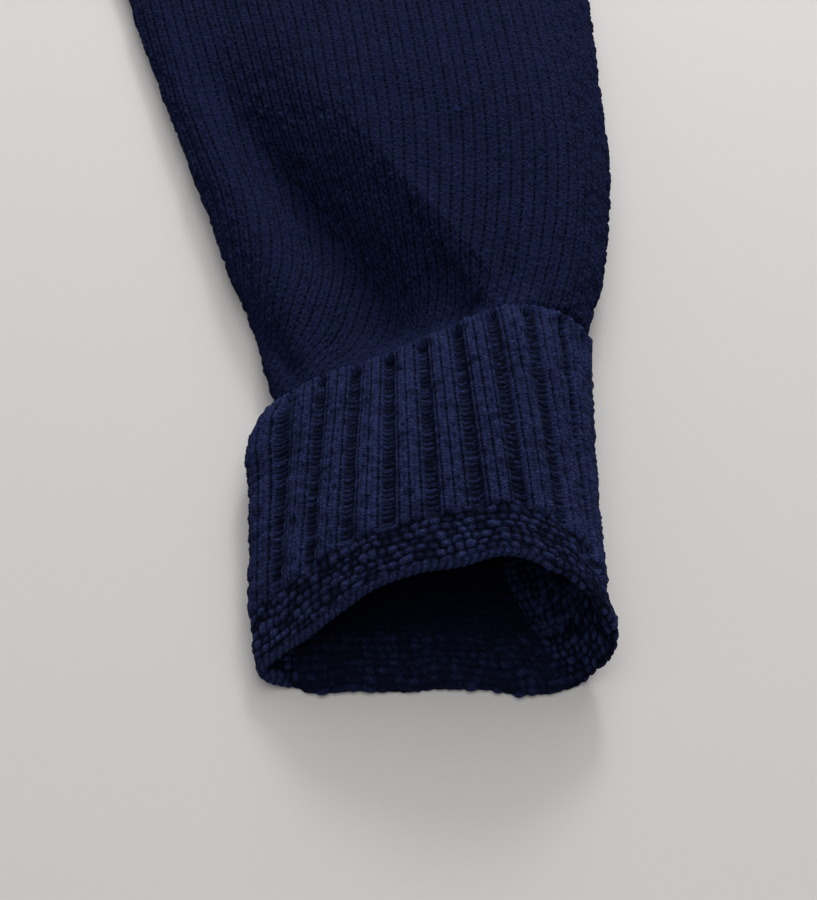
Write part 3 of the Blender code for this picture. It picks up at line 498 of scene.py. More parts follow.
def front_top(x, y, side, armhole_share):
    """The front's upper face. "side" is the distance to the side edge on the same row."""
    at_seam = np.where(armhole_share < 0, 1.0, 1 - smooth_step(armhole_share / ARMHOLE_BLEND))
    at_shoulder = smooth_step((armhole_share - 1 + ARMHOLE_BLEND) / ARMHOLE_BLEND)
    hold = np.maximum(at_seam, at_shoulder)
    lift = 1 - hold * (1 - quarter_round(side / EDGE_ROUND))
    to_top = top_edge(x, FRONT_NECK_DROP) - y
    by_neck = smooth_step((NECK_HALF + 0.4 * NECK_BLEND - np.abs(x)) / NECK_BLEND)
    lift = lift * (1 - (1 - NECK_EDGE_LIFT * by_neck) * (1 - quarter_round(to_top / EDGE_ROUND)))
    lift = lift * (1 - (1 - HEM_EDGE_LIFT) * (1 - quarter_round(y / EDGE_ROUND)))
    return EDGE_TOP + lift * (FRONT_RISE + ridges(FRONT_FOLDS, x, y, FOLD_BEND, FOLD_ENDS))


def place_section(row, loop, bow=0.0):
    """Sets a section's loop in place: across and up become x, y and z."""
    origin, axis, across = sleeve_axes()
    middle = 0.5 * (row["left"] + row["right"])
    turn = math.radians(row["turn"])
    aside = loop[:, 0] - middle
    share = np.clip((loop[:, 0] - row["left"]) / (row["right"] - row["left"]), 0.0, 1.0)
    ahead = row["lean"] * loop[:, 1] + bow * 4 * share * (1 - share)
    along = row["along"] + math.sin(turn) * aside + math.cos(turn) * ahead
    side = middle + math.cos(turn) * aside - math.sin(turn) * ahead
    plan = origin + along[:, None] * axis + side[:, None] * across
    return np.column_stack([plan, loop[:, 1]])


def turned_about_seam(grid, degrees):
    """Swings the cuff in plan, more towards its mouth, while its seam stays."""
    origin, axis, across = sleeve_axes()
    from_seam = np.maximum(-((grid[..., :2] - origin) @ axis) / CUFF_LENGTH, 0.0)
    shift = math.tan(math.radians(degrees)) * CUFF_LENGTH * from_seam ** CUFF_SWING
    moved = grid.copy()
    moved[..., :2] += shift[..., None] * across
    return moved


def neck_curve(half, corner, drop, shares):
    """Points along a neckline from +half to -half, at the shares of its length given."""
    x = half * np.sin(0.5 * np.pi * np.linspace(1.0, -1.0, LINE_SAMPLES))
    return read_evenly(np.stack([x, neckline(x, half, corner, drop)], axis=1), shares)


# The knit's relief

def scatter(first, second, salt):
    """A steady random number from 0 to 1 for each pair of whole numbers."""
    mixed = np.sin(first * 12.9898 + second * 78.233 + salt * 37.719) * 43758.5453
    return mixed - np.floor(mixed)


def soft_noise(x, y, salt):
    """Smooth random bumps from -1 to 1, one to each unit of x and y."""
    column, row = np.floor(x), np.floor(y)
    s, t = smooth_step(x - column), smooth_step(y - row)
    low = scatter(column, row, salt) * (1 - s) + scatter(column + 1, row, salt) * s
    high = scatter(column, row + 1, salt) * (1 - s) + scatter(column + 1, row + 1, salt) * s
    return 2 * (low * (1 - t) + high * t) - 1


def round_top(value):
    """A round hump over each whole unit, 0 between them and 1 at their middles."""
    return np.sqrt(np.maximum(1 - (2 * (value - np.floor(value)) - 1) ** 2, 0.0))


def stocking_relief(wale, row):
    """The height of stockinette, from about 0 in its gaps to about 1 on its yarn."""
    place = np.floor(wale)
    side = np.abs(2 * (wale - place) - 1)
    climb = row - LEG_RISE * side
    stitch = np.floor(climb)
    climb = climb + STITCH_SHIFT * (scatter(place, stitch, 1.0) - 0.5)
    leg = np.sqrt(np.maximum(1 - 0.9 * np.maximum(1.2 * side - 0.26, 1 - 3.6 * side) ** 2, 0.0))
    length = round_top(climb) ** 0.7
    phase = climb - np.floor(climb)
    wide, tall = HOLE_SIZE
    hole = np.exp(-(side / wide) ** 2) * np.exp(-((phase - HOLE_PLACE) / tall) ** 2)
    low, more = STITCH_UNEVEN
    return (0.5 * (leg + length) - STITCH_HOLE * hole) * (low + more * scatter(place, stitch, 2.0))


def ladder_relief(row, place):
    """The height of the purl bars in a rib's valley."""
    shifted = row + 0.5 * scatter(place, np.floor(row), 3.0)
    return round_top(shifted) ** 2.2 * (0.5 + 0.6 * scatter(place, np.floor(shifted), 6.0))


def garter_relief(across, down):
    """Big beads in staggered rows, both in millimetres."""
    waved = down + 1.0 * soft_noise(across / 6.0, down / 5.0, 8.0)
    line = np.floor(waved / GARTER_ROW)
    shifted = across / GARTER_WIDE + 0.5 * (line % 2) + 0.35 * scatter(line, 0.0, 4.0)
    shifted = shifted + 0.5 * soft_noise(across / 6.0, line * 1.7, 9.0)
    place = np.floor(shifted)
    tilt = 0.5 * (scatter(place, line, 7.0) - 0.3) * (shifted - place - 0.5)
    bead = round_top(shifted) ** 1.1 * round_top(waved / GARTER_ROW + tilt) ** 1.1
    return bead * (0.4 + 0.75 * scatter(place, line, 5.0))


# Meshes

def grid_normals(grid, closed):
    """Normals of a grid of points, rows by columns, joined round when it is closed."""
    if closed:
        wide = np.concatenate([grid[:, -1:], grid, grid[:, :1]], axis=1)
        across = wide[:, 2:] - wide[:, :-2]
    else:
        across = np.gradient(grid, axis=1)
    down = np.gradient(grid, axis=0)
    normals = np.cross(across, down)
    return normals / np.maximum(np.linalg.norm(normals, axis=2, keepdims=True), 1e-9)


def grid_quads(rows, columns, closed, start=0, flip=False):
    """Quads of a grid of points as an array."""
    number = start + np.arange(rows * columns).reshape(rows, columns)
    beside = np.roll(number, -1, axis=1) if closed else number[:, 1:]
    here = number if closed else number[:, :-1]
    quads = np.stack([here[:-1], beside[:-1], beside[1:], here[1:]], axis=-1).reshape(-1, 4)
    return quads[:, ::-1] if flip else quads


def join_lines(outer, inner, closed, flip=False):
    """Quads between two lines of point numbers."""
    if closed:
        outer, inner = np.append(outer, outer[0]), np.append(inner, inner[0])
    quads = np.stack([outer[:-1], inner[:-1], inner[1:], outer[1:]], axis=-1)
    return quads[:, ::-1] if flip else quads


def make_mesh(name, points, quads, knit, material, normals=None):
    """A mesh object from arrays. "knit" holds each point's wale, its row and its height in
    the stitch, from 0 to 1, which is used only where the stitches are in relief, as painted
    shade that darkens their gaps; on the cuff it also holds painted shade inside and painted
    light on its inner right wall."""
    points = points.copy()
    points[:, 1] += Y_SHIFT
    points[:, 2] = np.maximum(points[:, 2], 0.0)
    mesh = bpy.data.meshes.new(name)
    mesh.vertices.add(len(points))
    mesh.vertices.foreach_set("co", (points * MM).astype(np.float32).ravel())
    mesh.loops.add(quads.size)
    mesh.loops.foreach_set("vertex_index", quads.astype(np.int32).ravel())
    mesh.polygons.add(len(quads))
    mesh.polygons.foreach_set("loop_start", np.arange(0, quads.size, 4, dtype=np.int32))
    mesh.update(calc_edges=True)
    mesh.attributes.new("knit", "FLOAT_VECTOR", "POINT").data.foreach_set(
        "vector", knit.astype(np.float32).ravel())
    mesh.materials.append(material)
    mesh.shade_smooth()
    mesh.validate()
    if normals is not None:
        mesh.normals_split_custom_set_from_vertices(normals.tolist())
    thing = bpy.data.objects.new(name, mesh)
    bpy.context.scene.collection.objects.link(thing)
    return thing


def shell(name, outer, inner, closed, knit, material, normals=None):
    """A closed shell from its outer grid and an inner grid with the same columns."""
    rows, columns = outer.shape[:2]
    inner_rows = inner.shape[0]
    base = rows * columns
    points = np.vstack([outer.reshape(-1, 3), inner.reshape(-1, 3)])
    column = np.arange(columns)
    quads = [grid_quads(rows, columns, closed),
             grid_quads(inner_rows, columns, closed, base, flip=True),
             join_lines(column, base + column, closed),
             join_lines((rows - 1) * columns + column, base + (inner_rows - 1) * columns + column,
                        closed, flip=True)]
    if not closed:
        for c, flip in ((0, True), (columns - 1, False)):
            quads.append(join_lines(np.arange(rows) * columns + c,
                                    base + np.arange(rows) * columns + c, False, flip))
    share = np.linspace(0, rows - 1, inner_rows).round().astype(int)
    knit = np.vstack([knit.reshape(-1, 3), knit[share].reshape(-1, 3)])
    if normals is not None:
        inside = -grid_normals(inner, closed)
        normals = np.vstack([normals.reshape(-1, 3), inside.reshape(-1, 3)])
    return make_mesh(name, points, np.vstack(quads), knit, material, normals)


def mirrored(grid):
    """The same points on the garment's other side, with the faces still outward."""
    flipped = grid[:, ::-1].copy()
    flipped[..., 0] *= -1
    return flipped


# The sleeves

def section_loop(row, shares, under):
    """A section's outer line: round its top at the shares given, then across its underside."""
    line = read_evenly(section_top(row), shares)
    across = np.arange(1, under)[:, None] / under
    return np.vstack([line, line[-1] + (line[0] - line[-1]) * across])


def drawn_in(loop, depth):
    """The loop moved inward by the depth."""
    tangent = np.roll(loop, -1, axis=0) - np.roll(loop, 1, axis=0)
    tangent /= np.linalg.norm(tangent, axis=1)[:, None]
    return loop + depth * np.stack([tangent[:, 1], -tangent[:, 0]], axis=1)


def sleeve_ring(table, along, shares, depth=0.0):
    """One ring of a sleeve, on its outside or at a depth in its wall."""
    row = read_row(table, along)
    loop = drawn_in(section_loop(row, shares, SLEEVE_UNDER), depth)
    bow = ARMHOLE_BOW * smooth_step((along - table[-1][0] + BOW_BLEND) / BOW_BLEND)
    return place_section(row, loop, bow)


def sleeve_grid(table, stations, shares, depth=0.0):
    return np.array([sleeve_ring(table, along, shares, depth) for along in stations])


def sleeve_knit(grid, stations, columns):
    """Each point's wale, counted from the right edge, and its row."""
    top = grid[:, :columns]
    run = np.cumsum(np.linalg.norm(np.diff(top, axis=1), axis=2), axis=1)
    run = np.concatenate([np.zeros((len(grid), 1)), run], axis=1)
    knit = np.zeros(grid.shape)
    knit[:, :columns, 0] = SLEEVE_WALES - (run[:, -1:] - run) / WALE
    knit[:, columns:, 0] = SLEEVE_WALES + 2.0 * np.arange(1, grid.shape[1] - columns + 1)
    knit[..., 1] = ((stations - CUFF_SEAM) / ROW)[:, None]
    return knit


def creases_at(grid):
    """How far each point sinks into the small creases by the cuff."""
    origin, axis, across = sleeve_axes()
    along, aside = (grid[..., :2] - origin) @ axis, (grid[..., :2] - origin) @ across
    low, rise = CREASE_FLOOR
    sunk = ridges(CREASES, along, aside, 0.0, CREASE_ENDS)
    return sunk * smooth_step((grid[..., 2] - low) / rise)


def near_sleeve(material):
    """The lower left sleeve, with its stitches in relief, in two joined shells."""
    shares = np.linspace(0.0, 1.0, SLEEVE_WALES * NEAR_COLUMNS + 1)
    count = int(round((NEAR_END - CUFF_SEAM) / ROW * NEAR_ROWS))
    stations = np.linspace(CUFF_SEAM, NEAR_END, count + 1)
    base = sleeve_grid(SLEEVE_LEFT, stations, shares)
    base = base - creases_at(base)[..., None] * grid_normals(base, True)
    facing = grid_normals(base, True)
    knit = sleeve_knit(base, stations, len(shares))
    # The stitches' height, which the material also paints as shade in their gaps
    knit[..., 2] = stocking_relief(knit[..., 0], knit[..., 1])
    first, full = SLOPE_FROM
    steep = smooth_step((first - facing[..., 2]) / (first - full))
    relief = STITCH_HIGH * (1 + SLOPE_COARSE * steep) * (knit[..., 2] - STITCH_MIDDLE)
    wales, rows, high = YARN_WAVE
    relief += high * soft_noise(knit[..., 0] / wales, knit[..., 1] / rows, 7.0)
    relief -= SEAM_DROP * (1 - smooth_step((stations - CUFF_SEAM) / SEAM_WIDE))[:, None]
    fade = np.zeros(base.shape[1])
    fade[:len(shares)] = smooth_step(np.minimum(shares, 1 - shares) / SIDE_FADE)
    fade = fade * smooth_step((NEAR_END - stations) / NEAR_FADE)[:, None]
    moved = base + (relief * fade)[..., None] * facing
    normals = grid_normals(moved, True)
    inner_stations = np.linspace(CUFF_SEAM, NEAR_END, NEAR_INNER)
    inner = sleeve_grid(SLEEVE_LEFT, inner_stations, shares, WALL)
    cut = int(np.searchsorted(stations, NEAR_SPLIT))
    inner_cut = int(np.searchsorted(inner_stations, stations[cut]))
    inner[inner_cut] = sleeve_ring(SLEEVE_LEFT, stations[cut], shares, WALL)
    parts = []
    for name, rows, inner_rows in (("sleeve_left_lower", slice(0, cut + 1), slice(0, inner_cut + 1)),
                                   ("sleeve_left_middle", slice(cut, None), slice(inner_cut, None))):
        parts.append(shell(name, moved[rows], inner[inner_rows], True, knit[rows], material,
                           normals[rows]))
    return parts


def far_sleeve(name, table, start, flip, material):
    """A sleeve, or its upper stretch, with its stitches as bump."""
    stations = np.linspace(start, table[-1][0], int((table[-1][0] - start) / FAR_STEP) + 1)
    shares = np.linspace(0.0, 1.0, SLEEVE_WALES * FAR_COLUMNS + 1)
    outer = sleeve_grid(table, stations, shares)
    inner = sleeve_grid(table, stations, shares, WALL)
    _, axis, _ = sleeve_axes()
    for grid in (outer, inner):
        grid[-1, :, :2] += 2 * SEAM_GAP * axis   # over the seam's gap
    knit = sleeve_knit(outer, stations, len(shares))
    if flip:
        outer, inner, knit = mirrored(outer), mirrored(inner), knit[:, ::-1]
    return shell(name, outer, inner, True, knit, material, grid_normals(outer, True))


# The cuffs

def rib_profile(share):
    """The height of a rib by its place in its repeat, from 0 in its valley to 1."""
    away = np.abs((share - RIB_MIDDLE + 0.5) % 1.0 - 0.5) * 2
    low, high = RIB_ROUND
    crown = 1 - RIB_CROWN * np.minimum(away / low, 1.0) ** 2
    return crown * (1 - smooth_step((away - low) / (high - low)))


def picture_directions():
    """The picture's right and up on the ground."""
    _, axis, across = sleeve_axes()
    turn = math.radians(PICTURE_TURN)
    right = -math.sin(turn) * axis + math.cos(turn) * across
    up = math.cos(turn) * axis + math.sin(turn) * across
    return right, up


def straight_shares(table, stations, shares):
    """Shares round each ring of a cuff that make its ribs run straight to the mouth.

    Even shares swing from side to side, because the rings swell in different places.
    """
    right, up = picture_directions()
    rows = [read_row(table, station) for station in stations]
    lines = np.array([place_section(row, read_evenly(section_top(row), shares)) for row in rows])
    aside = lines[..., :2] @ right
    ahead = lines[..., :2] @ up + UPRIGHT * lines[..., 2]
    first, last = int(np.argmax(stations)), int(np.argmin(stations))
    gone = (ahead[first] - ahead) / (ahead[first] - ahead[last])
    start, full, back, end = FAN_PLACES
    fan = FAN * smooth_step((shares - start) / (full - start)) * smooth_step((end - shares) / (end - back))
    wanted = blend(aside[first], aside[last] + fan, gone)
    keep = smooth_step((np.minimum(shares, 1 - shares) - STRAIGHT_FROM) / STRAIGHT_RISE)
    straight = []
    half = len(shares) // 2
    for line, goal in zip(aside, wanted):
        low, high = np.argmin(line[:half]), half + np.argmax(line[half:])
        run = np.maximum.accumulate(line[low:high + 1])
        found = np.interp(goal, run, shares[low:high + 1])
        moved = np.maximum.accumulate(blend(shares, found, keep))
        straight.append(blend(moved, shares, EVEN_SHARE))
    return np.array(straight)


class Cuff:
    """A ribbed cuff's surface: down its outside, over the mouth's lip and back up inside.

    Each ring has its distance down from the seam, its depth in the wall from 0 to 1 and
    its run along the surface. Each column has its place among the ribs, in repeats, and
    its share of the way round the top, which is 1 on the underside.
    """

    def __init__(self, table, per_wale, per_row):
        self.first = table[0][0] - SEAM_GAP
        self.length = self.first - table[-1][0]
        self.ribs_end = self.length - CUFF_EDGE
        self.set_rings(per_row)
        self.set_columns(per_wale)
        self.set_points(table)
        self.set_regions()

    def set_rings(self, per_row):
        length, ribs_end = self.length, self.ribs_end
        seen = ribs_end - INSIDE_SEEN
        rib_rows = int(round(ribs_end / CUFF_ROW * per_row))
        seen_rows = int(INSIDE_SEEN / CUFF_ROW * per_row)
        edge_rows = int(round(CUFF_EDGE / GARTER_ROW * per_row * EDGE_FINER))
        outside = np.concatenate([np.linspace(0.0, ribs_end, rib_rows + 1),
                                  np.linspace(ribs_end, length, edge_rows + 1)[1:]])
        lip = np.linspace(0.0, math.pi, TURN_STEPS + 1)[1:-1]
        inside = np.concatenate([np.linspace(length, ribs_end, edge_rows + 1),
                                 np.linspace(ribs_end, seen, seen_rows)[1:],
                                 np.linspace(seen, 0.0, INSIDE_REST)[1:]])
        flat, wall = np.zeros(len(outside)), np.ones(len(inside))
        self.down = np.concatenate([outside, np.full(len(lip), length), inside])[:, None]
        self.depth = np.concatenate([flat, 0.5 * (1 - np.cos(lip)), wall])[:, None]
        self.beyond = np.concatenate([flat, np.sin(lip), np.zeros_like(wall)])[:, None]
        steps = np.abs(np.diff(self.down, axis=0)) + WALL * np.diff(self.depth, axis=0)
        self.run = np.vstack([[[0.0]], np.cumsum(steps, axis=0)])

    def set_columns(self, per_wale):
        self.shares = np.linspace(0.0, 1.0, CUFF_RIBS * RIB_WALES * per_wale + 1)
        self.under = CUFF_UNDER * per_wale
        beneath = np.arange(1, self.under) / self.under
        self.place = np.concatenate([self.shares * CUFF_RIBS, CUFF_RIBS + UNDER_RIBS * beneath])
        self.beside = np.concatenate([self.shares, np.ones_like(beneath)])
        self.on_floor = np.concatenate([np.zeros_like(self.shares), np.ones_like(beneath)])

    def set_points(self, table):
        """The smooth surface, and how far round each of its points lies."""
        stations = (self.first - self.down)[:, 0]
        taper = smooth_step((self.length - self.down) / LIP_TAPER)
        walls = WALL * blend(LIP_THIN, 1.0, taper)
        straight = straight_shares(table, stations, self.shares)
        rings = zip(stations, walls * self.depth, 0.5 * walls * self.beyond, straight)
        grid, arcs = [], []
        for along, inset, ahead, shares in rings:
            row = read_row(table, along)
            loop = section_loop(row, shares, self.under)
            row["along"] -= ahead[0]
            grid.append(place_section(row, drawn_in(loop, inset)))
            step = np.linalg.norm(np.roll(loop, -1, axis=0) - loop, axis=1)
            arcs.append(np.concatenate([[0.0], np.cumsum(step)[:-1]]))
        self.grid, self.arcs = np.array(grid), np.array(arcs)

    def set_regions(self):
        """How far each point belongs to the ribs, to their valleys and to the lip."""
        self.outside = self.depth < 0.5
        self.in_ribs = smooth_step((self.ribs_end - self.down) / RIBS_BLEND + 0.5)
        profile = rib_profile(self.place)
        opened = smooth_step((self.down - VALLEY_START - ARCH * profile) / VALLEY_RISE)
        self.sunk = (1 - profile) * opened
        start, whole = VALLEY_FROM
        self.valley = smooth_step((self.sunk - start) / (whole - start))
        rise, fall = LIP_ENDS
        ends = smooth_step((LIP_END - self.beside) / fall) * smooth_step(self.beside / rise)
        self.by_lip = smooth_step(1 - (self.length - self.down) / LIP_WIDE) * ends
        long, uneven = LIP_WAVE
        twist = self.arcs / LIP_BRAID + uneven * soft_noise(self.arcs / long, 0.0, 14.0)
        self.braid = round_top(twist + LIP_SLANT * (self.run - self.length)) ** LIP_SHARP

    def knit(self):
        """Each point's wale and row, with no tone yet."""
        knit = np.zeros(self.grid.shape)
        knit[..., 0] = self.place * RIB_WALES - VALLEY_SHIFT
        knit[..., 1] = -self.run / CUFF_ROW
        return knit

    def plain_relief(self):
        """Heights over the smooth surface with no stitches: in the ribs, in the band, inside."""
        return 0.0, blend(EDGE_RAISE, LIP_HIGH * self.braid, self.by_lip), 0.0

    def stitched_relief(self, knit):
        """The same three heights with every stitch, and the stitches' tone put into knit: painted shade in
        their gaps and inside the cuff, and painted light on its inner right wall.
        """
        wale, row = knit[..., 0], knit[..., 1]
        stitch = stocking_relief(wale, row)
        bars = ladder_relief(row, np.floor(self.place))
        beads = garter_relief(self.arcs, self.length - self.down + WALL * self.depth)
        purl = garter_relief(self.arcs * PURL_NARROW, self.down)
        rough = soft_noise(wale * ROUGH_SCALE[0], row * ROUGH_SCALE[1], 15.0)

        # Painted shade: the tone darkens towards the gaps between stitches, beads and bars, and the lip's
        # small bumps are lighter on top
        low, more = LIP_PAINTED_SHADE
        edge_shade = blend(beads ** BEAD_SHADE_CONTRAST, low + more * self.braid, self.by_lip)
        even, uneven = CREST_SHADE_AND_TONE
        rib_shade = blend(stitch * (even + uneven * rough), BAR_GAP_SHADE * bars, self.valley)
        # Painted shade inside the cuff, and painted light on its inner right wall
        start, whole = INNER_WALL
        lit_wall = smooth_step((self.beside - start) / (whole - start)) * (1 - self.on_floor)
        low, more = INSIDE_SHADE_AND_WALL_LIGHT
        inner_shade_and_light = blend(edge_shade, (low + more * lit_wall) * purl, self.in_ribs)
        # Painted shade: the inner floor is darker still
        low, kept = INNER_FLOOR_SHADE
        inner_shade_and_light = blend(inner_shade_and_light, low + kept * inner_shade_and_light, self.on_floor)
        outer_shade = blend(edge_shade, rib_shade, self.in_ribs)
        knit[..., 2] = np.where(self.outside, outer_shade, inner_shade_and_light)

        crest = CREST_HIGH * (stitch - STITCH_MIDDLE) + CREST_ROUGH * rough
        fine = STITCH_HIGH * blend(crest, bars - BAR_SUNK, self.valley)
        bumps = blend(GARTER_HIGH * beads, LIP_HIGH * self.braid, self.by_lip)
        return fine, bumps, purl

    def height(self, fine, bumps, purl):
        """How far each point stands out, from the three heights."""
        ribbed = RIB_HIGH - (RIB_HIGH + RIB_DEEP) * self.sunk
        outer = blend(bumps, ribbed + fine, self.in_ribs)
        inner = INSIDE_HIGH * blend(bumps, purl, self.in_ribs)
        foot = smooth_step(np.minimum(self.beside, 1 - self.beside) / FOOT_SHARE)
        shown = np.maximum(foot, np.sin(self.depth * math.pi))
        return np.where(self.outside, outer * shown, inner) * smooth_step(self.down / SEAM_RISE)

    def mouth_back(self, points):
        """How far the points by the mouth draw back: in a wave, and at its corner."""
        origin, _, across = sleeve_axes()
        low, high, up = CORNER
        corner = smooth_step(((points[..., :2] - origin) @ across - low) / (high - low))
        wave = MOUTH_WAVE * soft_noise(self.arcs / MOUTH_WAVE_LONG, 0.0, 13.0)
        wave = wave + CORNER_BACK * corner ** 2 * smooth_step(1 - points[..., 2] / up)
        return wave * smooth_step((self.down - self.ribs_end) / CUFF_EDGE)


def cuff_shell(name, table, flip, aslant, fineness, stitched, material):
    cuff = Cuff(table, *fineness)
    knit = cuff.knit()
    height = cuff.height(*(cuff.stitched_relief(knit) if stitched else cuff.plain_relief()))
    moved = cuff.grid - height[..., None] * grid_normals(cuff.grid, True)
    _, axis, _ = sleeve_axes()
    moved[..., :2] += cuff.mouth_back(moved)[..., None] * axis
    if aslant:
        moved = turned_about_seam(moved, aslant)
    if flip:
        moved, knit = mirrored(moved), knit[:, ::-1]
    rows, columns = moved.shape[:2]
    column = np.arange(columns)
    quads = np.vstack([grid_quads(rows, columns, True, flip=True),
                       join_lines(column, (rows - 1) * columns + column, True, flip=True)])
    return make_mesh(name, moved.reshape(-1, 3), quads, knit.reshape(-1, 3), material)


# The body

def panel_columns(step):
    """Places across a panel, from -1 to 1, with one at each neck point."""
    corner = NECK_HALF / SHOULDER_HALF
    near = np.linspace(0.0, corner, int(NECK_HALF / step) + 1)
    count = int((SHOULDER_HALF - NECK_HALF) / step)
    far = corner + (1 - corner) * np.sin(0.5 * np.pi * np.linspace(0.0, 1.0, count + 1))[1:]
    half = np.concatenate([near, far])
    return np.concatenate([-half[:0:-1], half])


def panel_points(step, drop):
    """A body panel in plan, with each row's half width and its share of the armhole."""
    heights = np.linspace(RIB_HEIGHT + SEAM_GAP, UNDERARM[1], int(UNDERARM[1] / step))
    shares = np.linspace(0.0, 1.0, int(ARMHOLE_DEPTH / step))[1:]
    side = np.vstack([np.stack([side_seam(heights), heights], axis=1), armhole(shares)])
    armhole_share = np.concatenate([np.full(len(heights), -1.0), shares])
    columns = panel_columns(step)
    tops = top_edge(columns * SHOULDER_HALF, drop)
    up = (side[:, 1] - side[0, 1]) / (side[-1, 1] - side[0, 1])
    x = columns[None, :] * side[:, 0][:, None]
    y = side[0, 1] + (tops[None, :] - side[0, 1]) * up[:, None]
    return x, y, side[:, 0][:, None] - np.abs(x), armhole_share[:, None]


def flat_knit(x, y):
    return np.stack([x / WALE + PANEL_WALES, y / ROW, np.zeros_like(x)], axis=2)


def front_panel(material):
    x, y, side, share = panel_points(FRONT_STEP, FRONT_NECK_DROP)
    to_top = top_edge(x, FRONT_NECK_DROP) - y
    inside = smooth_step(side / RIPPLE_EDGE) * smooth_step(to_top / RIPPLE_EDGE)
    inside = inside * smooth_step(y / RIPPLE_HEM)
    ripple = sum(high * soft_noise(x / wide, y / tall, salt) for wide, tall, high, salt in RIPPLES)
    z = front_top(x, y, side, share) + ripple * inside
    outer = np.stack([x, y, z], axis=2)
    return shell("front_knit", outer, outer - (0, 0, WALL), False, flat_knit(x, y), material)


def back_panel(material):
    x, y, side, share = panel_points(BACK_STEP, BACK_NECK_DROP)
    outer = np.stack([x, y, np.full_like(x, WALL)], axis=2)
    return shell("back_knit", outer, outer - (0, 0, WALL), False, flat_knit(x, y), material)


def hem_front(material):
    """The front hem rib, three wales up and one down."""
    place = np.linspace(0.0, HEM_RIBS, HEM_RIBS * RIB_COLUMNS + 1)
    x = (2 * place / HEM_RIBS - 1) * HEM_HALF
    y = np.linspace(0.0, RIB_HEIGHT + SEAM_GAP, HEM_ROWS)[:, None]
    x, y = np.broadcast_arrays(x[None, :], y)
    z = front_top(x, y, HEM_HALF - np.abs(x), -1.0)
    high = RIB_RAISE * rib_profile(place)[None, :]
    outer = np.stack([x, y, z + high], axis=2)
    inner = np.stack([x, y, z - WALL], axis=2)
    wales = np.broadcast_to(place * RIB_WALES - VALLEY_SHIFT, x.shape)
    knit = np.stack([wales, y / ROW, np.ones_like(y)], axis=2)
    return shell("hem_front_knit", outer, inner, False, knit, material)


def hem_back(material):
    columns, rows = HEM_BACK
    x, y = np.meshgrid(np.linspace(-HEM_HALF, HEM_HALF, columns),
                       np.linspace(0.0, RIB_HEIGHT + SEAM_GAP, rows))
    outer = np.stack([x, y, np.full_like(x, WALL)], axis=2)
    wales = (x + HEM_HALF) / (2 * HEM_HALF) * HEM_RIBS * RIB_WALES
    knit = np.stack([wales, y / ROW, np.ones_like(x)], axis=2)
    return shell("hem_back_knit", outer, outer - (0, 0, WALL), False, knit, material)


def neckband(material):
    """The neckband: its ribbed front lies over its back, and it turns over at the sides."""
    place = np.linspace(0.0, BAND_RIBS, BAND_RIBS * RIB_COLUMNS + 1)
    front_marks = place / BAND_RIBS
    back_marks = np.linspace(0.0, 1.0, BAND_BACK)
    turn = np.linspace(0.0, math.pi, TURN_STEPS + 1)[1:-1]
    left_turn = np.column_stack([-np.sin(turn), 0 * turn, np.cos(turn)])
    right_turn = np.column_stack([np.sin(turn), 0 * turn, np.cos(turn)])[::-1]
    ups = np.vstack([np.tile((0.0, 0.0, 1.0), (len(front_marks), 1)), left_turn,
                     np.tile((0.0, 0.0, -1.0), (len(back_marks), 1)), right_turn])
    raised = np.zeros(len(ups))
    raised[:len(place)] = rib_profile(place)
    parted = smooth_step((1 - np.abs(2 * front_marks - 1)) / BAND_BLEND)
    low = 0.5 * WALL
    outer = []
    inner = []
    rows = np.linspace(-NECK_SEAM_GAP / BAND_WIDTH, 1.0, BAND_ROWS)
    for share in rows:
        half = NECK_HALF - NECK_SEAM_GAP - BAND_TAPER * share
        corner = NECK_Y + SEAM_GAP + BAND_CORNER_RISE * share
        front_low = NECK_Y - FRONT_NECK_DROP + NECK_SEAM_GAP + BAND_WIDTH * share
        back_low = NECK_Y - BACK_NECK_DROP + NECK_SEAM_GAP + BAND_WIDTH * share
        front = neck_curve(half, corner, corner - front_low, front_marks)
        back = neck_curve(half, corner, corner - back_low, back_marks)[::-1]
        lift = BAND_OPEN[0] * share + (BAND_LIFT + BAND_OPEN[1] * share) * parted
        high = low + WALL + BAND_SIDE_GAP + lift
        radius = 0.5 * (high[0] - low)
        middle = np.array([half, corner, low + radius])
        centres = np.vstack([np.column_stack([front, high]),
                             middle * (-1, 1, 1) + radius * left_turn,
                             np.column_stack([back, np.full(len(back), low)]),
                             middle + radius * right_turn])
        outer.append(centres + (0.5 * WALL + RIB_RAISE * raised)[:, None] * ups)
        inner.append(centres - 0.5 * WALL * ups)
    turned = BAND_RIBS + np.linspace(0, BAND_RIBS, len(ups) - len(place))
    wales = np.concatenate([place, turned]) * RIB_WALES - VALLEY_SHIFT
    knit = np.zeros((len(rows), len(ups), 3))
    knit[..., 0] = wales[None, :]
    knit[..., 1] = (rows * BAND_WIDTH / ROW)[:, None]
    knit[..., 2] = 1.0
    return shell("neckband_knit", np.array(outer)[::-1], np.array(inner)[::-1], True, knit[::-1], material)


# Materials

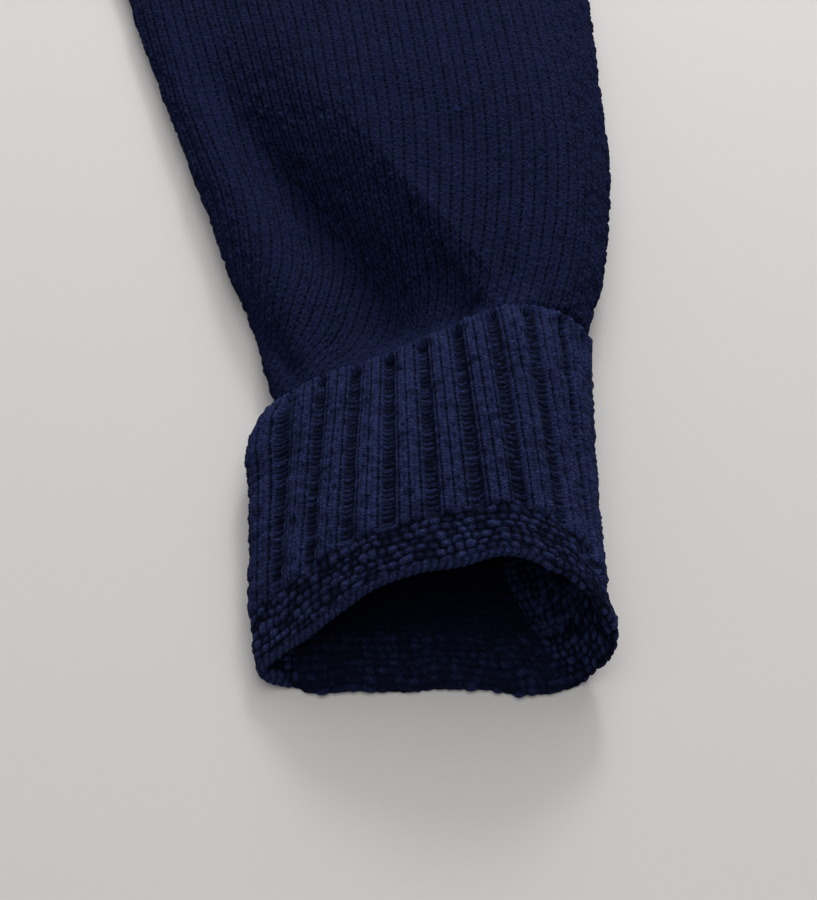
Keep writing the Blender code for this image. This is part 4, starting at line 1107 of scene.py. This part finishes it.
class Graph:
    """A few short calls for building a material's nodes."""

    def __init__(self, name):
        self.material = bpy.data.materials.new(name)
        self.material.use_nodes = True
        self.tree = self.material.node_tree
        self.shader = self.tree.nodes["Principled BSDF"]

    def node(self, kind, **settings):
        made = self.tree.nodes.new(kind)
        for key, value in settings.items():
            setattr(made, key, value)
        return made

    def link(self, value, socket):
        if isinstance(value, (int, float)):
            socket.default_value = value
        else:
            self.tree.links.new(value, socket)

    def math(self, operation, *values):
        made = self.node("ShaderNodeMath", operation=operation)
        for value, socket in zip(values, made.inputs):
            self.link(value, socket)
        return made.outputs[0]

    def ramp(self, value, low, high):
        """0 where the value is under low, 1 over high, and smooth between."""
        made = self.node("ShaderNodeMapRange", interpolation_type="SMOOTHSTEP")
        for entry, socket in zip((value, low, high, 0.0, 1.0), made.inputs):
            self.link(entry, socket)
        return made.outputs[0]

    def mix(self, share, first, second):
        made = self.node("ShaderNodeMix", data_type="RGBA")
        self.link(share, made.inputs[0])
        for value, socket in ((first, made.inputs[6]), (second, made.inputs[7])):
            if isinstance(value, tuple):
                socket.default_value = value
            else:
                self.tree.links.new(value, socket)
        return made.outputs[2]

    def noise(self, place, scale, detail=2.0):
        made = self.node("ShaderNodeTexNoise")
        self.tree.links.new(place, made.inputs["Vector"])
        made.inputs["Scale"].default_value = scale
        made.inputs["Detail"].default_value = detail
        return made.outputs["Fac"]

    def hump(self, value):
        """A round hump over each whole unit."""
        part = self.math("SUBTRACT", self.math("MULTIPLY", self.math("FRACT", value), 2.0), 1.0)
        square = self.math("MULTIPLY", part, part)
        return self.math("SQRT", self.math("MAXIMUM", self.math("SUBTRACT", 1.0, square), 0.0))


def knit_material(name, colour, ribbed, in_relief):
    """Matt navy wool: stitches, plied yarn and a soft fuzz.

    The stitches are read from "knit" where they are in relief and drawn here elsewhere.
    The colour darkens towards their gaps as painted shade, and loose fibres on their tops
    are lightened as painted highlights.
    """
    g = Graph(name)
    knit = g.node("ShaderNodeAttribute", attribute_name="knit")
    apart = g.node("ShaderNodeSeparateXYZ")
    g.tree.links.new(knit.outputs["Vector"], apart.inputs[0])
    wale, row = apart.outputs[0], apart.outputs[1]
    place = g.node("ShaderNodeTexCoord").outputs["Object"]
    scale, rows = WOBBLE
    wobble = g.math("MULTIPLY", g.math("SUBTRACT", g.noise(place, scale), 0.5), rows)
    row = g.math("ADD", row, wobble)

    side = g.math("ABSOLUTE", g.math("SUBTRACT", g.math("MULTIPLY", g.math("FRACT", wale), 2.0), 1.0))
    climb = g.math("SUBTRACT", row, g.math("MULTIPLY", side, LEG_RISE))
    leg = g.hump(side)
    length = g.hump(climb)
    stitch = g.math("ADD", g.math("MULTIPLY", leg, 0.55), g.math("MULTIPLY", length, 0.45))
    if ribbed:
        repeat = g.math("FRACT", g.math("DIVIDE", wale, float(RIB_WALES)))
        valley = g.ramp(g.math("ABSOLUTE", g.math("SUBTRACT", repeat, 0.875)), 0.13, 0.08)
        bars = g.math("MULTIPLY", g.hump(row), 0.8)
        gap = g.math("SUBTRACT", bars, stitch)
        stitch = g.math("ADD", stitch, g.math("MULTIPLY", gap, valley))
    over, along = STRANDS
    strands = g.math("ADD", g.math("MULTIPLY", side, over), g.math("MULTIPLY", climb, along))
    ply = g.hump(strands)

    fuzz = g.noise(place, FUZZ_SCALE, 4.0)
    clouds = g.noise(place, CLOUD_SCALE)
    times, added = FUZZ_HIGHLIGHT
    # Painted shade colour for the gaps between stitches
    gap_shade = tuple(c * GAP_SHADE_SHARE for c in colour[:3]) + (1.0,)
    # Painted highlight colour for loose fibres
    light = tuple(c * times + added for c in colour[:3]) + (1.0,)
    # Painted shade: the colour darkens towards the gaps between stitches
    depth = g.ramp(apart.outputs[2] if in_relief else stitch, *GAP_SHADE_RANGE)
    tone = g.mix(depth, gap_shade, colour)
    # Painted highlights: loose fibres on the stitches' tops are lightened
    lift = g.math("MULTIPLY", g.math("MULTIPLY", g.ramp(fuzz, *FUZZ_HIGHLIGHT_RANGE), FUZZ_HIGHLIGHT_SHARE), depth)
    tone = g.mix(lift, tone, light)
    low, cloudy, fuzzy = SHADE
    shade = g.math("ADD", low, g.math("MULTIPLY", clouds, cloudy))
    shade = g.math("ADD", shade, g.math("MULTIPLY", g.ramp(fuzz, *DARK_RANGE), fuzzy))
    scaled = g.node("ShaderNodeVectorMath", operation="SCALE")
    g.tree.links.new(tone, scaled.inputs[0])
    g.tree.links.new(shade, scaled.inputs["Scale"])
    g.tree.links.new(scaled.outputs[0], g.shader.inputs["Base Color"])

    stitches, strand, fibre = BUMPS
    relief = g.math("ADD", g.math("MULTIPLY", stitch, 0.0 if in_relief else stitches),
                    g.math("ADD", g.math("MULTIPLY", ply, strand), g.math("MULTIPLY", fuzz, fibre)))
    bump = g.node("ShaderNodeBump")
    bump.inputs["Strength"].default_value = BUMP_STRENGTH
    bump.inputs["Distance"].default_value = BUMP_HIGH
    g.tree.links.new(relief, bump.inputs["Height"])
    g.tree.links.new(bump.outputs[0], g.shader.inputs["Normal"])
    g.shader.inputs["Roughness"].default_value = 0.95
    g.shader.inputs["Specular IOR Level"].default_value = 0.04
    g.shader.inputs["Sheen Weight"].default_value = 0.022
    g.shader.inputs["Sheen Roughness"].default_value = 0.5
    g.shader.inputs["Sheen Tint"].default_value = SHEEN_TINT
    return g.material


def floor_material():
    g = Graph("pale_floor")
    place = g.node("ShaderNodeTexCoord").outputs["Object"]
    grain = g.noise(place, 900.0, 2.0)
    tone = g.mix(grain, *FLOOR_TONES)
    g.tree.links.new(tone, g.shader.inputs["Base Color"])
    g.shader.inputs["Roughness"].default_value = 0.9
    g.shader.inputs["Specular IOR Level"].default_value = 0.1
    return g.material


# The studio

def picture_frame():
    """The point looked at and the picture's right and up on the ground, in the row's frame."""
    origin, _, _ = sleeve_axes()
    right, up = picture_directions()
    point = origin + np.array([0.0, Y_SHIFT]) + LOOK_AT[0] * right + LOOK_AT[1] * up
    return point * MM, right, up


def aim(thing, place, target):
    thing.location = Vector(place)
    thing.rotation_euler = (Vector(target) - Vector(place)).to_track_quat("-Z", "Y").to_euler()


def make_camera():
    point, _, up = picture_frame()
    tilt = math.radians(ELEVATION)
    lens = bpy.data.cameras.new("camera")
    lens.sensor_fit = "VERTICAL"
    lens.sensor_height = SENSOR_HEIGHT
    lens.lens = LENS
    lens.clip_start = 0.01
    camera = bpy.data.objects.new("camera", lens)
    bpy.context.scene.collection.objects.link(camera)
    ground = point - up * math.cos(tilt) * DISTANCE
    aim(camera, (ground[0], ground[1], math.sin(tilt) * DISTANCE), (point[0], point[1], 0.0))
    bpy.context.scene.camera = camera


def make_light(name, right, up, height, size, watts, colour):
    """An area light placed by the picture's directions, in metres."""
    point, to_right, to_up = picture_frame()
    lamp = bpy.data.lights.new(name, "AREA")
    lamp.shape = "DISK"
    lamp.size = size
    lamp.energy = watts
    lamp.color = colour
    thing = bpy.data.objects.new(name, lamp)
    bpy.context.scene.collection.objects.link(thing)
    ground = point + right * to_right + up * to_up
    aim(thing, (ground[0], ground[1], height), (point[0], point[1], 0.0))


def make_stage():
    mesh = bpy.data.meshes.new("floor")
    half = FLOOR_HALF
    mesh.from_pydata([(-half, -half, 0), (half, -half, 0), (half, half, 0), (-half, half, 0)], [],
                     [(0, 1, 2, 3)])
    mesh.materials.append(floor_material())
    floor = bpy.data.objects.new("floor", mesh)
    floor.location.z = -FLOOR_DROP
    bpy.context.scene.collection.objects.link(floor)
    for name, light in LIGHTS.items():
        make_light(name, *light)
    world = bpy.data.worlds.new("studio")
    world.use_nodes = True
    background = world.node_tree.nodes["Background"]
    background.inputs["Color"].default_value = SKY
    background.inputs["Strength"].default_value = SKY_STRENGTH
    bpy.context.scene.world = world
    bpy.context.scene.view_settings.view_transform = "Standard"


def dress(thing, slot, *nodes):
    """Puts a piece in the place of its nodes."""
    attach(thing, "root")
    if nodes:
        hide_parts(*nodes)


def main():
    make_camera()
    make_stage()
    # The far pieces' colour is darker, painted shade for their missing relief's shadows, and the ribbed
    # ones' colour is lighter, painted light
    near = knit_material("navy_near", NAVY, False, True)
    near_rib_painted_light = knit_material("navy_near_rib_painted_light", NAVY_RIB_PAINTED_LIGHT, True, True)
    far = knit_material("navy_far_painted_shade", NAVY_FAR_PAINTED_SHADE, False, False)
    far_rib_painted_light = knit_material("navy_far_rib_painted_light", NAVY_RIB_PAINTED_LIGHT, True, False)
    lower, middle = near_sleeve(near)
    upper = far_sleeve("sleeve_left_upper", SLEEVE_LEFT, NEAR_END, False, far)
    right = far_sleeve("sleeve_right_knit", SLEEVE_RIGHT, CUFF_SEAM, True, far)
    cuff = cuff_shell("cuff_left_knit", CUFF_LEFT, False, 0.0, CUFF_FINE, True, near_rib_painted_light)
    other = cuff_shell("cuff_right_knit", CUFF_RIGHT, True, RIGHT_CUFF_TURN, CUFF_COARSE, False, far_rib_painted_light)
    front = front_panel(far)
    back = back_panel(far)
    hem = hem_front(far_rib_painted_light)
    hem_under = hem_back(far_rib_painted_light)
    band = neckband(far_rib_painted_light)
    for thing in (lower, middle):
        dress(thing, "navy_stockinette")
    dress(upper, "navy_stockinette", "sleeve_left")
    dress(right, "navy_stockinette", "sleeve_right")
    dress(front, "navy_stockinette", "front")
    dress(back, "navy_stockinette", "back")
    dress(cuff, "navy_rib", "cuff_left")
    dress(other, "navy_rib", "cuff_right")
    dress(hem, "navy_rib", "hem_front")
    dress(hem_under, "navy_rib", "hem_back")
    dress(band, "navy_rib", "neckband")


main()
